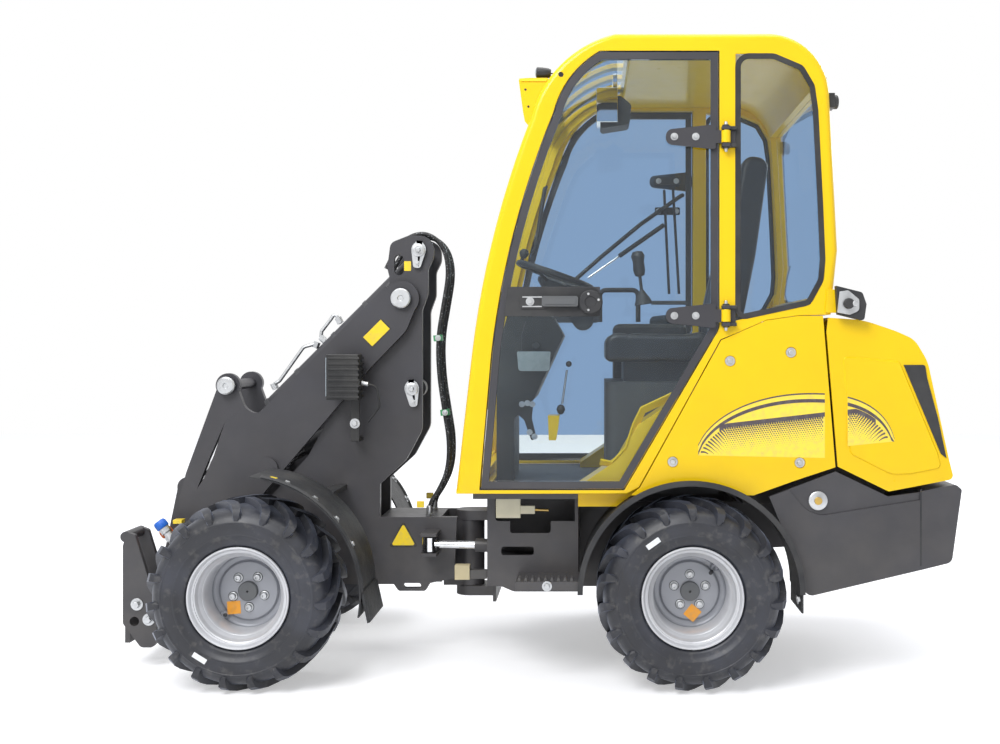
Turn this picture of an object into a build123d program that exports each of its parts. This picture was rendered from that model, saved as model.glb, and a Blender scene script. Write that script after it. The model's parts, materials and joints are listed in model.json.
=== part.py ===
from build123d import *
from math import hypot, radians, tan
import os

os.makedirs("parts", exist_ok=True)

# Millimetres. The machine faces -X, its left (near) side is -Y, and it stands on Z = 0.

# Wheels and axles
wheelbase = 1500
rear_axle_x = 545
front_axle_x = rear_axle_x - wheelbase
tyre_radius = 318
tyre_width = 304
tyre_centre_y = 492
lug_count = 19
lug_width = 36
lug_sweep = 92
lug_depth = 22
bead_radius = 152
rim_radius = 169.5
rim_half_width = 138
rim_wall = 6
disc_thickness = 10
hub_radius = 33
hub_length = 26
axle_radius = 55
axle_flange_radius = 80
axle_flange_thickness = 14
front_diff_radius = 92
rear_diff_radius = 110
axle_z = tyre_radius

# Clearances
seat_gap = 0.3
run_gap = 0.05
swing_gap = 5

# Articulation pivot
pivot_x = -250
pivot_pin_radius = 22
pivot_barrel_radius = 52
pivot_low_z = 205
pivot_high_z = 526
pivot_lug_thickness = 36
pivot_lug_half_width = 55

# Front frame
tower_inner_y = 100
tower_plate = 25
tower_outer_y = tower_inner_y + tower_plate
boom_inner_y = tower_outer_y + 8
boom_plate = 25
boom_outer_y = boom_inner_y + boom_plate
ear_pin = (-431, 1506)
ear_pin_radius = 20
boom_pin = (-492, 1326)
boom_pin_radius = 30
lift_pin = (-456, 990)
lift_pin_radius = 22
pin_head_radius = 35
pin_head = 10

# Boom and quick hitch
hump_pin = (-1134, 1004)
hump_radius = 45
tip_pin = (-1345, 215)
tip_pin_radius = 25
tip_radius = 46
lift_eye = (-985, 700)
tilt_eye = (-1320, 615)
hitch_half_width = 325
hitch_side_plate = 20
hitch_tube = (-1445, 471)
hitch_tube_radius = 19
lock_hole = (-1414, 171)
lock_hole_radius = 17
hitch_lug_inner_y = 35
hitch_lug_plate = 20
carrier_inner_y = boom_outer_y + 24
carrier_outer_y = carrier_inner_y + hitch_side_plate
boom_tube = (-1130, 650)
boom_mid_tube = (-775, 1015)
boom_tube_radius = 40

# Cylinders
barrel_radius = 30
rod_radius = 16
eye_radius = 36
eye_half_width = 28
gland_gap = run_gap

steer_z = 425
steer_base = (100, -265)
steer_eye = (-382, -200)
steer_pin_radius = 14
hose_radius = 9

# Cab
cab_half = 525
cab_wall = 48
glass_inset = 18
roof_z = 2210
cab_floor_z = 650
floor_plate = 24
door_thickness = 20
door_rim = 24
glass_thickness = 5
hinge_x = 664
hinge_y = 541
hinge_heights = (1252, 1855)
hinge_pin_radius = 8

# Rear body
panel_half = cab_half
panel_plate = 12
hood_wall = 8
arch_radius = 369
fender_plate = 6
fender_lip = 12
fender_outer_y = 575
fender_inner_y = 335
front_arch_radius = 395
front_fender_outer_y = 600
bumper_x = 1325
tail_x = 1464


def side_plane(y):
    """Side view plane at y: its x is X, its y is Z, and it faces the near side."""
    return Plane(origin=(0, y, 0), x_dir=(1, 0, 0), z_dir=(0, -1, 0))


def outline(points):
    """Face inside a closed line. Each point is X, Z and, at a rounded corner, its radius."""
    corners = [point[:2] for point in points]
    radii = [point[2] if len(point) > 2 else 0 for point in points]
    with BuildLine() as border:
        if any(radii):
            FilletPolyline(*corners, radius=radii, close=True)
        else:
            Polyline(*corners, close=True)
    make_face(border.edges())


def side_plates(points, inner_y, thickness, holes=()):
    """Two like plates, near and far, with round holes given as (centre, radius)."""
    with BuildPart() as plates:
        with BuildSketch(side_plane(-inner_y)):
            outline(points)
            for centre, radius in holes:
                with Locations(centre):
                    Circle(radius, mode=Mode.SUBTRACT)
        extrude(amount=thickness)
        mirror(about=Plane.XZ)
    return plates.part


def cross_rod(centre, radius, half_width):
    """Round bar along Y through a side view point."""
    with BuildPart() as rod:
        with BuildSketch(side_plane(half_width)):
            with Locations(centre):
                Circle(radius)
        extrude(amount=2 * half_width)
    return rod.part


def block(low, high):
    """Box between two corners."""
    size = [h - l for l, h in zip(low, high)]
    middle = tuple((l + h) / 2 for l, h in zip(low, high))
    with BuildPart() as made:
        with Locations(middle):
            Box(*size)
    return made.part


def write(name, builder):
    """Label a finished piece and save it under its own name."""
    builder.part.label = name
    export_step(builder.part, f"parts/{name}.step")


# Tyre: carcass with chevron lugs, at the origin with its axle along Y
half_tyre = tyre_width / 2
carcass_radius = tyre_radius - lug_depth
# radius, y of the near half section, from bead to crown
tyre_section = [
    (bead_radius + seat_gap, 110),
    (rim_radius + 2.5, 124),
    (205, 147),
    (238, half_tyre),
    (268, 143),
    (287, 116),
    (carcass_radius, 60),
]
with BuildPart() as carcass:
    with BuildSketch(Plane.XY):
        outline([(r, -y) for r, y in tyre_section] + [(r, y) for r, y in reversed(tyre_section)])
    revolve(axis=Axis.Y)

# radius, y of the band that the near lugs are cut from
lug_band = [(280, 3), (tyre_radius, 3), (316, -100), (303, -145), (262, -150), (262, -128), (280, -100)]
with BuildPart() as near_lug:
    with BuildSketch(Plane.XY):
        outline(lug_band)
    revolve(axis=Axis.Y)
    with BuildSketch(Plane.XY.offset(240)):
        outline([(-lug_width / 2, 4), (lug_width / 2, 4), (lug_width / 2 + lug_sweep, -155), (lug_sweep - 6, -155)])
    extrude(amount=90, mode=Mode.INTERSECT)

far_lug = mirror(near_lug.part, about=Plane.XZ)
pitch = 360 / lug_count
lugs = []
for turn in range(lug_count):
    lugs.append(near_lug.part.rotate(Axis.Y, turn * pitch))
    lugs.append(far_lug.rotate(Axis.Y, (turn + 0.5) * pitch))
with BuildPart() as tyre:
    add(carcass.part)
    add(lugs)

# Rim: drop-centre ring with a dished disc and hub cap on its outer side, facing -Y
# radius, y of the outer skin of the near half, from flange to well
rim_skin = [(rim_radius, rim_half_width), (rim_radius, 130), (bead_radius, 124), (bead_radius, 96), (128, 80)]
with BuildPart() as rim:
    with BuildSketch(Plane.XY):
        skin = [(r, -y) for r, y in rim_skin] + [(r, y) for r, y in reversed(rim_skin)]
        back = [(r - rim_wall, y + 3 * (y > 0) - 3 * (y < 0)) for r, y in reversed(skin)]
        back[0] = (rim_radius - rim_wall, rim_half_width)
        back[-1] = (rim_radius - rim_wall, -rim_half_width)
        outline(skin + back)
        disc_radius = 128 - rim_wall / 2
        with Locations((disc_radius / 2, -disc_thickness / 2)):
            Rectangle(disc_radius, disc_thickness)
        with Locations((hub_radius / 2, -hub_length / 2)):
            Rectangle(hub_radius, hub_length)
    revolve(axis=Axis.Y)

wheel_places = {
    "front_left": (front_axle_x, -1),
    "front_right": (front_axle_x, 1),
    "rear_left": (rear_axle_x, -1),
    "rear_right": (rear_axle_x, 1),
}
for place, (wheel_x, side) in wheel_places.items():
    for piece_name, piece in (("tyre", tyre), ("rim", rim)):
        handed = piece.part if side < 0 else mirror(piece.part, about=Plane.XZ)
        with BuildPart() as placed:
            with Locations((wheel_x, side * tyre_centre_y, axle_z)):
                add(handed)
        write(f"{piece_name}_{place}", placed)

# Axles: tube, differential bulge and hub flanges
flange_y = tyre_centre_y - seat_gap
for name, axle_x, diff_radius, diff_half in (
    ("front_axle", front_axle_x, front_diff_radius, 80),
    ("rear_axle", rear_axle_x, rear_diff_radius, 95),
):
    with BuildPart() as axle:
        with BuildSketch(Plane.XY.offset(axle_z)):
            with BuildLine():
                Polyline(
                    (axle_x, -flange_y),
                    (axle_x + axle_flange_radius, -flange_y),
                    (axle_x + axle_flange_radius, -flange_y + axle_flange_thickness),
                    (axle_x + axle_radius, -flange_y + 2 * axle_flange_thickness),
                    (axle_x + axle_radius, -diff_half),
                    (axle_x + diff_radius, -diff_half / 2),
                    (axle_x + diff_radius, diff_half / 2),
                    (axle_x + axle_radius, diff_half),
                    (axle_x + axle_radius, flange_y - 2 * axle_flange_thickness),
                    (axle_x + axle_flange_radius, flange_y - axle_flange_thickness),
                    (axle_x + axle_flange_radius, flange_y),
                    (axle_x, flange_y),
                    close=True,
                )
            make_face()
        revolve(axis=Axis((axle_x, 0, axle_z), (0, 1, 0)))
    write(name, axle)

# Rear frame: long plates, cross members, pivot lugs and pin
frame_top_z = cab_floor_z - floor_plate
box_front_x = -153
frame_sheet = 12
long_inner_y = 140
long_plate = 20
long_outer_y = long_inner_y + long_plate
engine_seat_z = 575
long_points = [
    (box_front_x, 262),
    (box_front_x, frame_top_z),
    (300, frame_top_z),
    (360, engine_seat_z, 30),
    (1310, engine_seat_z),
    (1310, 430),
    (800, 400, 60),
    (720, 240, 40),
    (380, 240, 60),
    (300, 262, 60),
]
cross_member_places = (740, 1298)
cross_member_low_z = 440
steer_lug_half = 19
steer_lug_plate = 12
steer_lug_gap = 21
clevis_gap = 30
steer_lug_low_z = steer_z - steer_lug_gap - steer_lug_plate
with BuildPart() as rear_frame:
    add(
        side_plates(
            long_points, long_inner_y, long_plate, [((rear_axle_x, axle_z), axle_radius + seat_gap)]
        )
    )
    add(
        block(
            (box_front_x, -long_outer_y, pivot_low_z),
            (box_front_x + frame_sheet, long_outer_y, frame_top_z),
        )
    )
    for x in cross_member_places:
        add(
            block(
                (x, -long_inner_y, cross_member_low_z),
                (x + frame_sheet, long_inner_y, engine_seat_z),
            )
        )
    for low_z in (pivot_low_z, pivot_high_z - pivot_lug_thickness):
        with BuildSketch(Plane.XY.offset(low_z)):
            with Locations((pivot_x, 0)):
                Circle(pivot_lug_half_width)
            with Locations(((pivot_x + box_front_x) / 2 + 3, 0)):
                Rectangle(box_front_x - pivot_x + 6, 2 * pivot_lug_half_width)
        extrude(amount=pivot_lug_thickness)
    with BuildSketch(Plane.XY.offset(pivot_low_z)):
        with Locations((pivot_x, 0)):
            Circle(pivot_pin_radius)
    extrude(amount=pivot_high_z - pivot_low_z)
    for low_z in (steer_lug_low_z, steer_z + steer_lug_gap):
        lug_low = (steer_base[0] - steer_lug_half, steer_base[1] - 31, low_z)
        lug_high = (steer_base[0] + steer_lug_half, -long_inner_y - 10, low_z + steer_lug_plate)
        add(block(lug_low, lug_high))
    with BuildSketch(Plane.XY.offset(steer_z - 30)):
        with Locations(steer_base):
            Circle(steer_pin_radius)
    extrude(amount=60)
write("rear_frame", rear_frame)

# Open sheet boxes under the doors, each with a shaped outer plate and a way through for the steering cylinder
box_low_z = 293
box_rear_x = 165
box_half = 400
box_plate_points = [
    (box_front_x, 330, 20),
    (box_front_x, frame_top_z),
    (box_front_x + 28, frame_top_z),
    (box_front_x + 28, 539, 12),
    (box_rear_x, 539),
    (box_rear_x, box_low_z),
    (-60, box_low_z, 40),
    (-100, 310, 30),
]
# X, Z of the middle, length and height of each slot in the outer plate
box_slots = [(-2, 530, 142, 66), (-47, 435, 114, 30)]
steer_way_low = (-320, 370)
steer_way_high = (-155, 480)
with BuildPart() as cab_subframe:
    with BuildPart(mode=Mode.PRIVATE) as boxes:
        with BuildSketch(side_plane(-box_half + frame_sheet)):
            outline(box_plate_points)
            for x, z, length, height in box_slots:
                with Locations((x, z)):
                    RectangleRounded(length, height, 10, mode=Mode.SUBTRACT)
        extrude(amount=frame_sheet)
        inner_y = long_outer_y + seat_gap
        for x in (box_front_x, box_rear_x - frame_sheet):
            add(block((x, -box_half, box_low_z + 20), (x + frame_sheet, -inner_y, frame_top_z)))
        add(
            block(
                (box_front_x, -box_half, box_low_z + 20),
                (box_rear_x, -inner_y, box_low_z + 20 + frame_sheet),
            )
        )
        way_low = (box_front_x - 5, steer_way_low[0], steer_way_low[1])
        way_high = (box_front_x + frame_sheet + 5, steer_way_high[0], steer_way_high[1])
        add(block(way_low, way_high), mode=Mode.SUBTRACT)
        mirror(about=Plane.XZ)
    add(boxes.part)
write("cab_subframe", cab_subframe)

# Engine as one plain mass on the frame
with BuildPart() as engine_block:
    add(block((760, -230, engine_seat_z), (1280, 230, 1040)))
write("engine_block", engine_block)

# Front frame: two shaped plates, pivot barrel, cross plates and pins
deck_z = 512
tower_points = [
    (-300, 285),
    (-290, deck_z),
    (-577, deck_z),
    (-577, 636),
    (-480, 725, 60),
    (-420, 837, 60),
    (-420, 1284, 60),
    (-398, 1344, 60),
    (-398, 1437, 40),
    (-377, 1480, 60),
    (-377, 1562, 53),
    (-470, 1562, 30),
    (-538, 1535, 30),
    (-550, 1440, 20),
    (-540, 1400, 20),
    (-548, 1326, 60),
    (-620, 1150, 100),
    (-845, 740, 80),
    (-985, 590, 80),
    (-1060, 500, 60),
    (-1080, 420, 40),
    (-1080, 262, 20),
    (-525, 262),
    (-508, 237, 14),
    (-407, 237, 14),
    (-390, 266),
]
ear_slot = (-506, 1452)
tie_slot = (-457, 257)
frame_tie = 14
barrel_low_z = pivot_low_z + pivot_lug_thickness + 1
barrel_high_z = pivot_high_z - pivot_lug_thickness - 1
front_web_x = -350
frame_nose_x = -1080
with BuildPart() as front_frame:
    with BuildPart(mode=Mode.PRIVATE) as tower:
        with BuildSketch(side_plane(-tower_inner_y)):
            outline(tower_points)
            with Locations((front_axle_x, axle_z)):
                Circle(axle_radius + seat_gap, mode=Mode.SUBTRACT)
            with Locations(ear_slot):
                SlotOverall(76, 36, rotation=90, mode=Mode.SUBTRACT)
            with Locations(tie_slot):
                SlotOverall(66, 18, mode=Mode.SUBTRACT)
        extrude(amount=tower_plate)
        mirror(about=Plane.XZ)
    add(tower.part)
    add(block((-840, -tower_inner_y, 266), (front_web_x, tower_inner_y, 266 + frame_tie)))
    add(block((-577, -tower_inner_y, deck_z - frame_tie), (front_web_x, tower_inner_y, deck_z)))
    add(block((front_web_x - 20, -tower_inner_y, 266), (front_web_x, tower_inner_y, deck_z)))
    add(block((frame_nose_x, -tower_inner_y, 300), (frame_nose_x + frame_tie, tower_inner_y, 420)))
    with BuildSketch(Plane.XY.offset(barrel_low_z)):
        with Locations((pivot_x, 0)):
            Circle(pivot_barrel_radius)
        with Locations(((pivot_x + front_web_x) / 2, 0)):
            Rectangle(pivot_x - front_web_x, 1.6 * pivot_barrel_radius)
        with Locations((pivot_x, 0)):
            Circle(pivot_pin_radius + run_gap, mode=Mode.SUBTRACT)
    extrude(amount=barrel_high_z - barrel_low_z)
    add(cross_rod(ear_pin, ear_pin_radius, tower_outer_y + 12))
    add(cross_rod(lift_pin, lift_pin_radius, tower_outer_y + 6))
    add(cross_rod(boom_pin, boom_pin_radius, boom_outer_y + 5))
    for side in (-1, 1):
        head_y = side * (boom_outer_y + 5 + pin_head / 2)
        with Locations(Location((boom_pin[0], head_y, boom_pin[1]), (90, 0, 0))):
            Cylinder(pin_head_radius, pin_head)
write("front_frame", front_frame)

# Clevis plates for the steering cylinder's eye, on the near side of the tower
with BuildPart() as steering_clevis:
    for low_z in (steer_z - clevis_gap - steer_lug_plate, steer_z + clevis_gap):
        clevis_low = (steer_eye[0] - 30, steer_eye[1] - 32, low_z)
        clevis_high = (steer_eye[0] + 30, -tower_outer_y - seat_gap, low_z + steer_lug_plate)
        add(block(clevis_low, clevis_high))
write("steering_clevis", steering_clevis)

# Boom: two shaped plates outside the tower, joined by cross tubes
boom_points = [
    (-440, 1290),
    (-475, 1206, 80),
    (-608, 1068, 150),
    (-922, 700),
    (-1235, 330, 120),
    (-1300, 205),
    (-1391, 215),
    (-1380, 320, 150),
    (-1322, 554, 200),
    (-1289, 680, 200),
    (-1175, 990),
    (-1095, 985),
    (-1072, 921, 50),
    (-1026, 895, 30),
    (-552, 1372),
]
boom_slit = [(-1145, 868), (-1205, 728), (-1248, 622), (-1222, 660), (-1186, 745)]
boom_boss_radius = 38
with BuildPart() as boom:
    for side in (-1, 1):
        with BuildSketch(side_plane(-boom_inner_y if side < 0 else boom_outer_y)):
            outline(boom_points)
            for centre, radius in ((boom_pin, 65), (hump_pin, hump_radius), (tip_pin, tip_radius)):
                with Locations(centre):
                    Circle(radius)
            with Locations(boom_pin):
                Circle(boom_pin_radius + run_gap, mode=Mode.SUBTRACT)
            with BuildSketch(mode=Mode.SUBTRACT):
                outline(boom_slit)
        extrude(amount=boom_plate)
    add(cross_rod(boom_tube, boom_tube_radius, boom_inner_y + 1))
    add(cross_rod(boom_mid_tube, boom_tube_radius, boom_inner_y + 1))
    add(cross_rod(hump_pin, 20, boom_outer_y + 8))
    for side in (-1, 1):
        with Locations(Location((hump_pin[0], side * (boom_outer_y + 6), hump_pin[1]), (90, 0, 0))):
            Cylinder(33, 12)
        with Locations(Location((lift_eye[0], side * (boom_outer_y + 4), lift_eye[1]), (90, 0, 0))):
            Cylinder(boom_boss_radius, 20)
        stub_y = side * (boom_inner_y + eye_half_width + 7) / 2
        stub = boom_inner_y - eye_half_width - 7 + 2
        with Locations(Location((lift_eye[0], stub_y, lift_eye[1]), (90, 0, 0))):
            Cylinder(22, stub)
        tip_y = side * (boom_inner_y + carrier_outer_y + 3) / 2
        with Locations(Location((tip_pin[0], tip_y, tip_pin[1]), (90, 0, 0))):
            Cylinder(tip_pin_radius, carrier_outer_y + 3 - boom_inner_y)
write("boom", boom)

# Quick hitch: side plates, hook tubes, lower cross box and centre lugs
hitch_side_points = [
    (-1455, 163, 20),
    (-1455, 440),
    (-1440, 488, 12),
    (-1412, 478, 12),
    (-1366, 329, 60),
    (-1338, 220, 60),
    (-1338, 78, 20),
    (-1391, 78, 20),
]
hitch_lug_points = [
    (-1440, 90),
    (-1440, 250),
    (-1400, 400),
    (tilt_eye[0] - 34, tilt_eye[1] + 8),
    (tilt_eye[0] + 34, tilt_eye[1] + 8),
    (-1300, 400),
    (-1300, 215),
    (-1345, 165),
    (-1345, 110),
    (-1400, 90),
]
with BuildPart() as quick_hitch:
    add(
        side_plates(
            hitch_side_points,
            hitch_half_width - hitch_side_plate,
            hitch_side_plate,
            [(lock_hole, lock_hole_radius)],
        )
    )
    add(
        side_plates(
            hitch_side_points,
            carrier_inner_y,
            hitch_side_plate,
            [(tip_pin, tip_pin_radius + run_gap)],
        )
    )
    with BuildPart(mode=Mode.PRIVATE) as lugs:
        with BuildSketch(side_plane(-hitch_lug_inner_y)):
            outline(hitch_lug_points)
            with Locations(tilt_eye):
                Circle(38)
            with Locations(tilt_eye):
                Circle(16, mode=Mode.SUBTRACT)
        extrude(amount=hitch_lug_plate)
        mirror(about=Plane.XZ)
    add(lugs.part)
    side_half = hitch_half_width - hitch_side_plate
    add(block((-1455, -side_half, 90), (-1437, side_half, 245)))
    for side in (-1, 1):
        tube_y = side * (carrier_inner_y + hitch_half_width) / 2
        tube = hitch_half_width - carrier_inner_y
        with Locations(Location((hitch_tube[0], tube_y, hitch_tube[1]), (90, 0, 0))):
            Cylinder(hitch_tube_radius, tube)
write("quick_hitch", quick_hitch)


def along(start, direction, length):
    """Side view point a length from the start along a unit direction."""
    return (start[0] + direction[0] * length, start[1] + direction[1] * length)


def unit(start, end):
    """Unit direction from start to end in a side view."""
    span = hypot(end[0] - start[0], end[1] - start[1])
    return ((end[0] - start[0]) / span, (end[1] - start[1]) / span)


# Lift and tilt cylinders, each a barrel with its base eye and a rod with its eye, on the centre plane
# name, base pin, base pin radius, rod eye, barrel length, bored depth, barrel radius
arm_cylinders = [
    ("lift", lift_pin, lift_pin_radius, lift_eye, 485, 400, 38, 22),
    ("tilt", ear_pin, ear_pin_radius, tilt_eye, 823, 700, barrel_radius, rod_radius),
]
for name, base, base_radius, eye, barrel_length, bore_depth, outer, rod_r in arm_cylinders:
    direction = unit(base, eye)
    span = hypot(eye[0] - base[0], eye[1] - base[1])
    run = Plane(origin=(base[0], 0, base[1]), x_dir=(0, 1, 0), z_dir=(direction[0], 0, direction[1]))
    with BuildPart() as barrel:
        with BuildSketch(run):
            Circle(outer)
        extrude(amount=barrel_length)
        with BuildSketch(side_plane(eye_half_width)):
            with Locations(base):
                Circle(eye_radius)
        extrude(amount=2 * eye_half_width)
        with BuildSketch(side_plane(outer + 5)):
            with Locations(base):
                Circle(base_radius + run_gap)
        extrude(amount=2 * outer + 10, mode=Mode.SUBTRACT)
        with BuildSketch(run.offset(barrel_length - bore_depth)):
            Circle(rod_r + gland_gap)
        extrude(amount=bore_depth + 5, mode=Mode.SUBTRACT)
    write(f"{name}_barrel", barrel)
    rod_start = barrel_length - 130
    with BuildPart() as rod:
        with BuildSketch(run.offset(rod_start)):
            Circle(rod_r)
        extrude(amount=span - rod_start - eye_radius / 2)
        with BuildSketch(side_plane(eye_half_width)):
            with Locations(eye):
                Circle(eye_radius)
        extrude(amount=2 * eye_half_width)
    write(f"{name}_rod", rod)

# Cab silhouette and openings
# X, Z round the cab side, clockwise from the foot of the front pillar
foot_front = (-249, cab_floor_z)
pillar_bend = (-195, 1125)
brow = (3, 1922)
roof_front = (290, roof_z)
roof_rear = (820, roof_z)
rear_brow = (1018, 2010)
rear_waist = (1045, 1475)
rear_foot = (1022, 1256)
shoulder = [(908, 1253), (803, 1238), (700, 1193), (648, 1172)]


def cab_silhouette():
    """Closed side outline of the cab, down to the body's shoulder and the door's diagonal."""
    with BuildLine() as border:
        Line(foot_front, pillar_bend)
        ThreePointArc(pillar_bend, (-128, 1503), brow)
        ThreePointArc(brow, (110, 2110), roof_front)
        Line(roof_front, roof_rear)
        ThreePointArc(roof_rear, (955, 2150), rear_brow)
        Polyline(rear_brow, rear_waist, rear_foot, *shoulder, (372, 672), (330, cab_floor_z), foot_front)
    make_face(border.edges())


# X, Z of the door opening, clockwise from its lower front corner
door_low_front = (-168, cab_floor_z + 12)
door_bend = (-128, 1125)
door_top = 2149
door_rear_x = 644
door_diagonal = (636, 1195)
door_low_rear = (322, cab_floor_z + 12)


def door_outline():
    """Closed side outline of the door opening."""
    with BuildLine() as border:
        Line(door_low_front, door_bend)
        ThreePointArc(door_bend, (-50, 1545), (82, 1940))
        ThreePointArc((82, 1940), (135, 2055), (240, door_top))
        Polyline(
            (240, door_top),
            (door_rear_x, door_top),
            (door_rear_x, 1215),
            door_diagonal,
            door_low_rear,
            door_low_front,
        )
    make_face(border.edges())


# X, Z of the rear quarter window, clockwise from its lower front corner
quarter_corner = 699
quarter_points = [
    (quarter_corner, 1236),
    (quarter_corner, 2138),
    (829, 2138),
    (926, 2097),
    (964, 2032),
    (976, 1948),
    (992, 1638),
    (1000, 1442),
    (994, 1371),
    (950, 1290),
]

screen_low_z = 705
screen_high_z = 2010
screen_half = 452
rear_low_z = 1320
rear_high_z = 2030
roof_slots = 5
roof_slot = 130
roof_rib = 50
roof_skin = 17.7
roof_pocket_x = 345
with BuildPart() as cab_frame:
    with BuildSketch(side_plane(cab_half)):
        cab_silhouette()
    extrude(amount=2 * cab_half)
    with BuildSketch(side_plane(cab_half - cab_wall)):
        cab_silhouette()
        offset(amount=-cab_wall)
        with Locations((410, 915)):
            Rectangle(1110, 830)
    extrude(amount=2 * (cab_half - cab_wall), mode=Mode.SUBTRACT)
    with BuildSketch(side_plane(cab_half + 5)):
        door_outline()
    extrude(amount=2 * cab_half + 10, mode=Mode.SUBTRACT)
    with BuildSketch(side_plane(cab_half + 5)):
        outline(quarter_points)
    extrude(amount=2 * cab_half + 10, mode=Mode.SUBTRACT)
    add(
        block((-400, -screen_half, screen_low_z), (190, screen_half, screen_high_z)),
        mode=Mode.SUBTRACT,
    )
    add(
        block((900, -screen_half, rear_low_z), (1100, screen_half, rear_high_z)),
        mode=Mode.SUBTRACT,
    )
    with BuildPart(mode=Mode.PRIVATE) as roof_pocket:
        with BuildSketch(side_plane(screen_half)):
            cab_silhouette()
            offset(amount=-roof_skin)
        extrude(amount=2 * screen_half)
        add(
            block((20, -screen_half, screen_high_z - 1), (roof_pocket_x, screen_half, roof_z)),
            mode=Mode.INTERSECT,
        )
    add(roof_pocket.part, mode=Mode.SUBTRACT)
    for place in range(roof_slots):
        middle = (place - (roof_slots - 1) / 2) * (roof_slot + roof_rib)
        slot_low = (95, middle - roof_slot / 2, 2060)
        slot_high = (330, middle + roof_slot / 2, roof_z + 10)
        add(block(slot_low, slot_high), mode=Mode.SUBTRACT)
write("cab_frame", cab_frame)

# Cab glass: windscreen, rear pane and quarter panes
with BuildPart() as cab_glass:
    with BuildSketch(side_plane(screen_half - seat_gap)):
        cab_silhouette()
        offset(amount=-glass_inset)
    extrude(amount=2 * (screen_half - seat_gap))
    with BuildSketch(side_plane(screen_half + 1)):
        cab_silhouette()
        offset(amount=-glass_inset - glass_thickness)
        with Locations((150, 700)):
            Rectangle(900, 400)
    extrude(amount=2 * screen_half + 2, mode=Mode.SUBTRACT)
    front_pane = block(
        (-400, -screen_half, screen_low_z + seat_gap), (180, screen_half, screen_high_z - seat_gap)
    )
    rear_pane = block(
        (905, -screen_half, rear_low_z + seat_gap), (1100, screen_half, rear_high_z - seat_gap)
    )
    roof_pane = block(
        (20, -screen_half, screen_high_z - 1 + seat_gap), (roof_pocket_x - seat_gap, screen_half, roof_z)
    )
    add([front_pane, roof_pane, rear_pane], mode=Mode.INTERSECT)
    for side in (-1, 1):
        pane_y = -cab_half + 12 if side < 0 else cab_half - 12 + glass_thickness
        with BuildSketch(side_plane(pane_y)):
            outline(quarter_points)
            offset(amount=-seat_gap)
        extrude(amount=glass_thickness)
write("cab_glass", cab_glass)

# Black latch plate across the front of each door
latch_front = -80
latch_rear = 240
latch_low_z = 1252
latch_high_z = 1350

# Doors: rim frame with latch and hinge arms, and a pane
arm_front_x = 462
arm_rear_x = 630
for side, side_name in ((-1, "left"), (1, "right")):
    face_y = side * cab_half
    with BuildPart() as door:
        with BuildSketch(side_plane(face_y if side > 0 else face_y + door_thickness)):
            door_outline()
            offset(amount=-swing_gap)
        extrude(amount=door_thickness)
        with BuildSketch(side_plane(face_y if side > 0 else face_y + door_thickness)):
            door_outline()
            offset(amount=-swing_gap - door_rim)
        extrude(amount=door_thickness, mode=Mode.SUBTRACT)
        latch_y = sorted((face_y - side * door_thickness, face_y + side * 6))
        add(block((latch_front, latch_y[0], latch_low_z), (latch_rear, latch_y[1], latch_high_z)))
        for height in hinge_heights:
            pad_y = sorted((face_y, face_y + side * swing_gap))
            arm_y = sorted((face_y + side * swing_gap, side * hinge_y))
            add(block((arm_front_x + 20, pad_y[0], height - 14), (arm_rear_x - 8, pad_y[1], height + 14)))
            with BuildSketch(side_plane(arm_y[1])):
                outline(
                    [
                        (arm_front_x, height - 24, 23),
                        (arm_front_x, height + 24, 23),
                        (arm_rear_x, height + 42, 8),
                        (arm_rear_x, height + 22),
                        (hinge_x, height + 22),
                        (hinge_x, height - 22),
                        (arm_rear_x, height - 22),
                        (arm_rear_x, height - 42, 8),
                    ]
                )
            extrude(amount=arm_y[1] - arm_y[0])
            with Locations((hinge_x, side * hinge_y, height)):
                Cylinder(13, 44)
            with Locations((hinge_x, side * hinge_y, height)):
                Cylinder(hinge_pin_radius + run_gap, 60, mode=Mode.SUBTRACT)
    write(f"door_{side_name}", door)
    with BuildPart() as pane:
        with BuildSketch(side_plane(face_y - side * 6 if side > 0 else face_y - side * 6 + glass_thickness)):
            door_outline()
            offset(amount=-swing_gap - door_rim - seat_gap)
        extrude(amount=glass_thickness)
        add(
            block(
                (latch_front - seat_gap, latch_y[0] - 5, latch_low_z - seat_gap),
                (latch_rear + seat_gap, latch_y[1] + 5, latch_high_z + seat_gap),
            ),
            mode=Mode.SUBTRACT,
        )
    write(f"door_pane_{side_name}", pane)

# Door hinge brackets and pins on the cab side
with BuildPart() as door_hinges:
    for side in (-1, 1):
        for height in hinge_heights:
            for level in (-1, 1):
                y_span = sorted((side * cab_half, side * (hinge_y + 14)))
                z_low = height + level * 29 - 6
                add(block((hinge_x - 14, y_span[0], z_low), (hinge_x + 14, y_span[1], z_low + 12)))
            with Locations((hinge_x, side * hinge_y, height)):
                Cylinder(hinge_pin_radius, 70)
            y_span = sorted((side * cab_half, side * (cab_half + 6)))
            add(block((hinge_x + 14, y_span[0], height - 35), (hinge_x + 34, y_span[1], height + 35)))
write("door_hinges", door_hinges)

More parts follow.
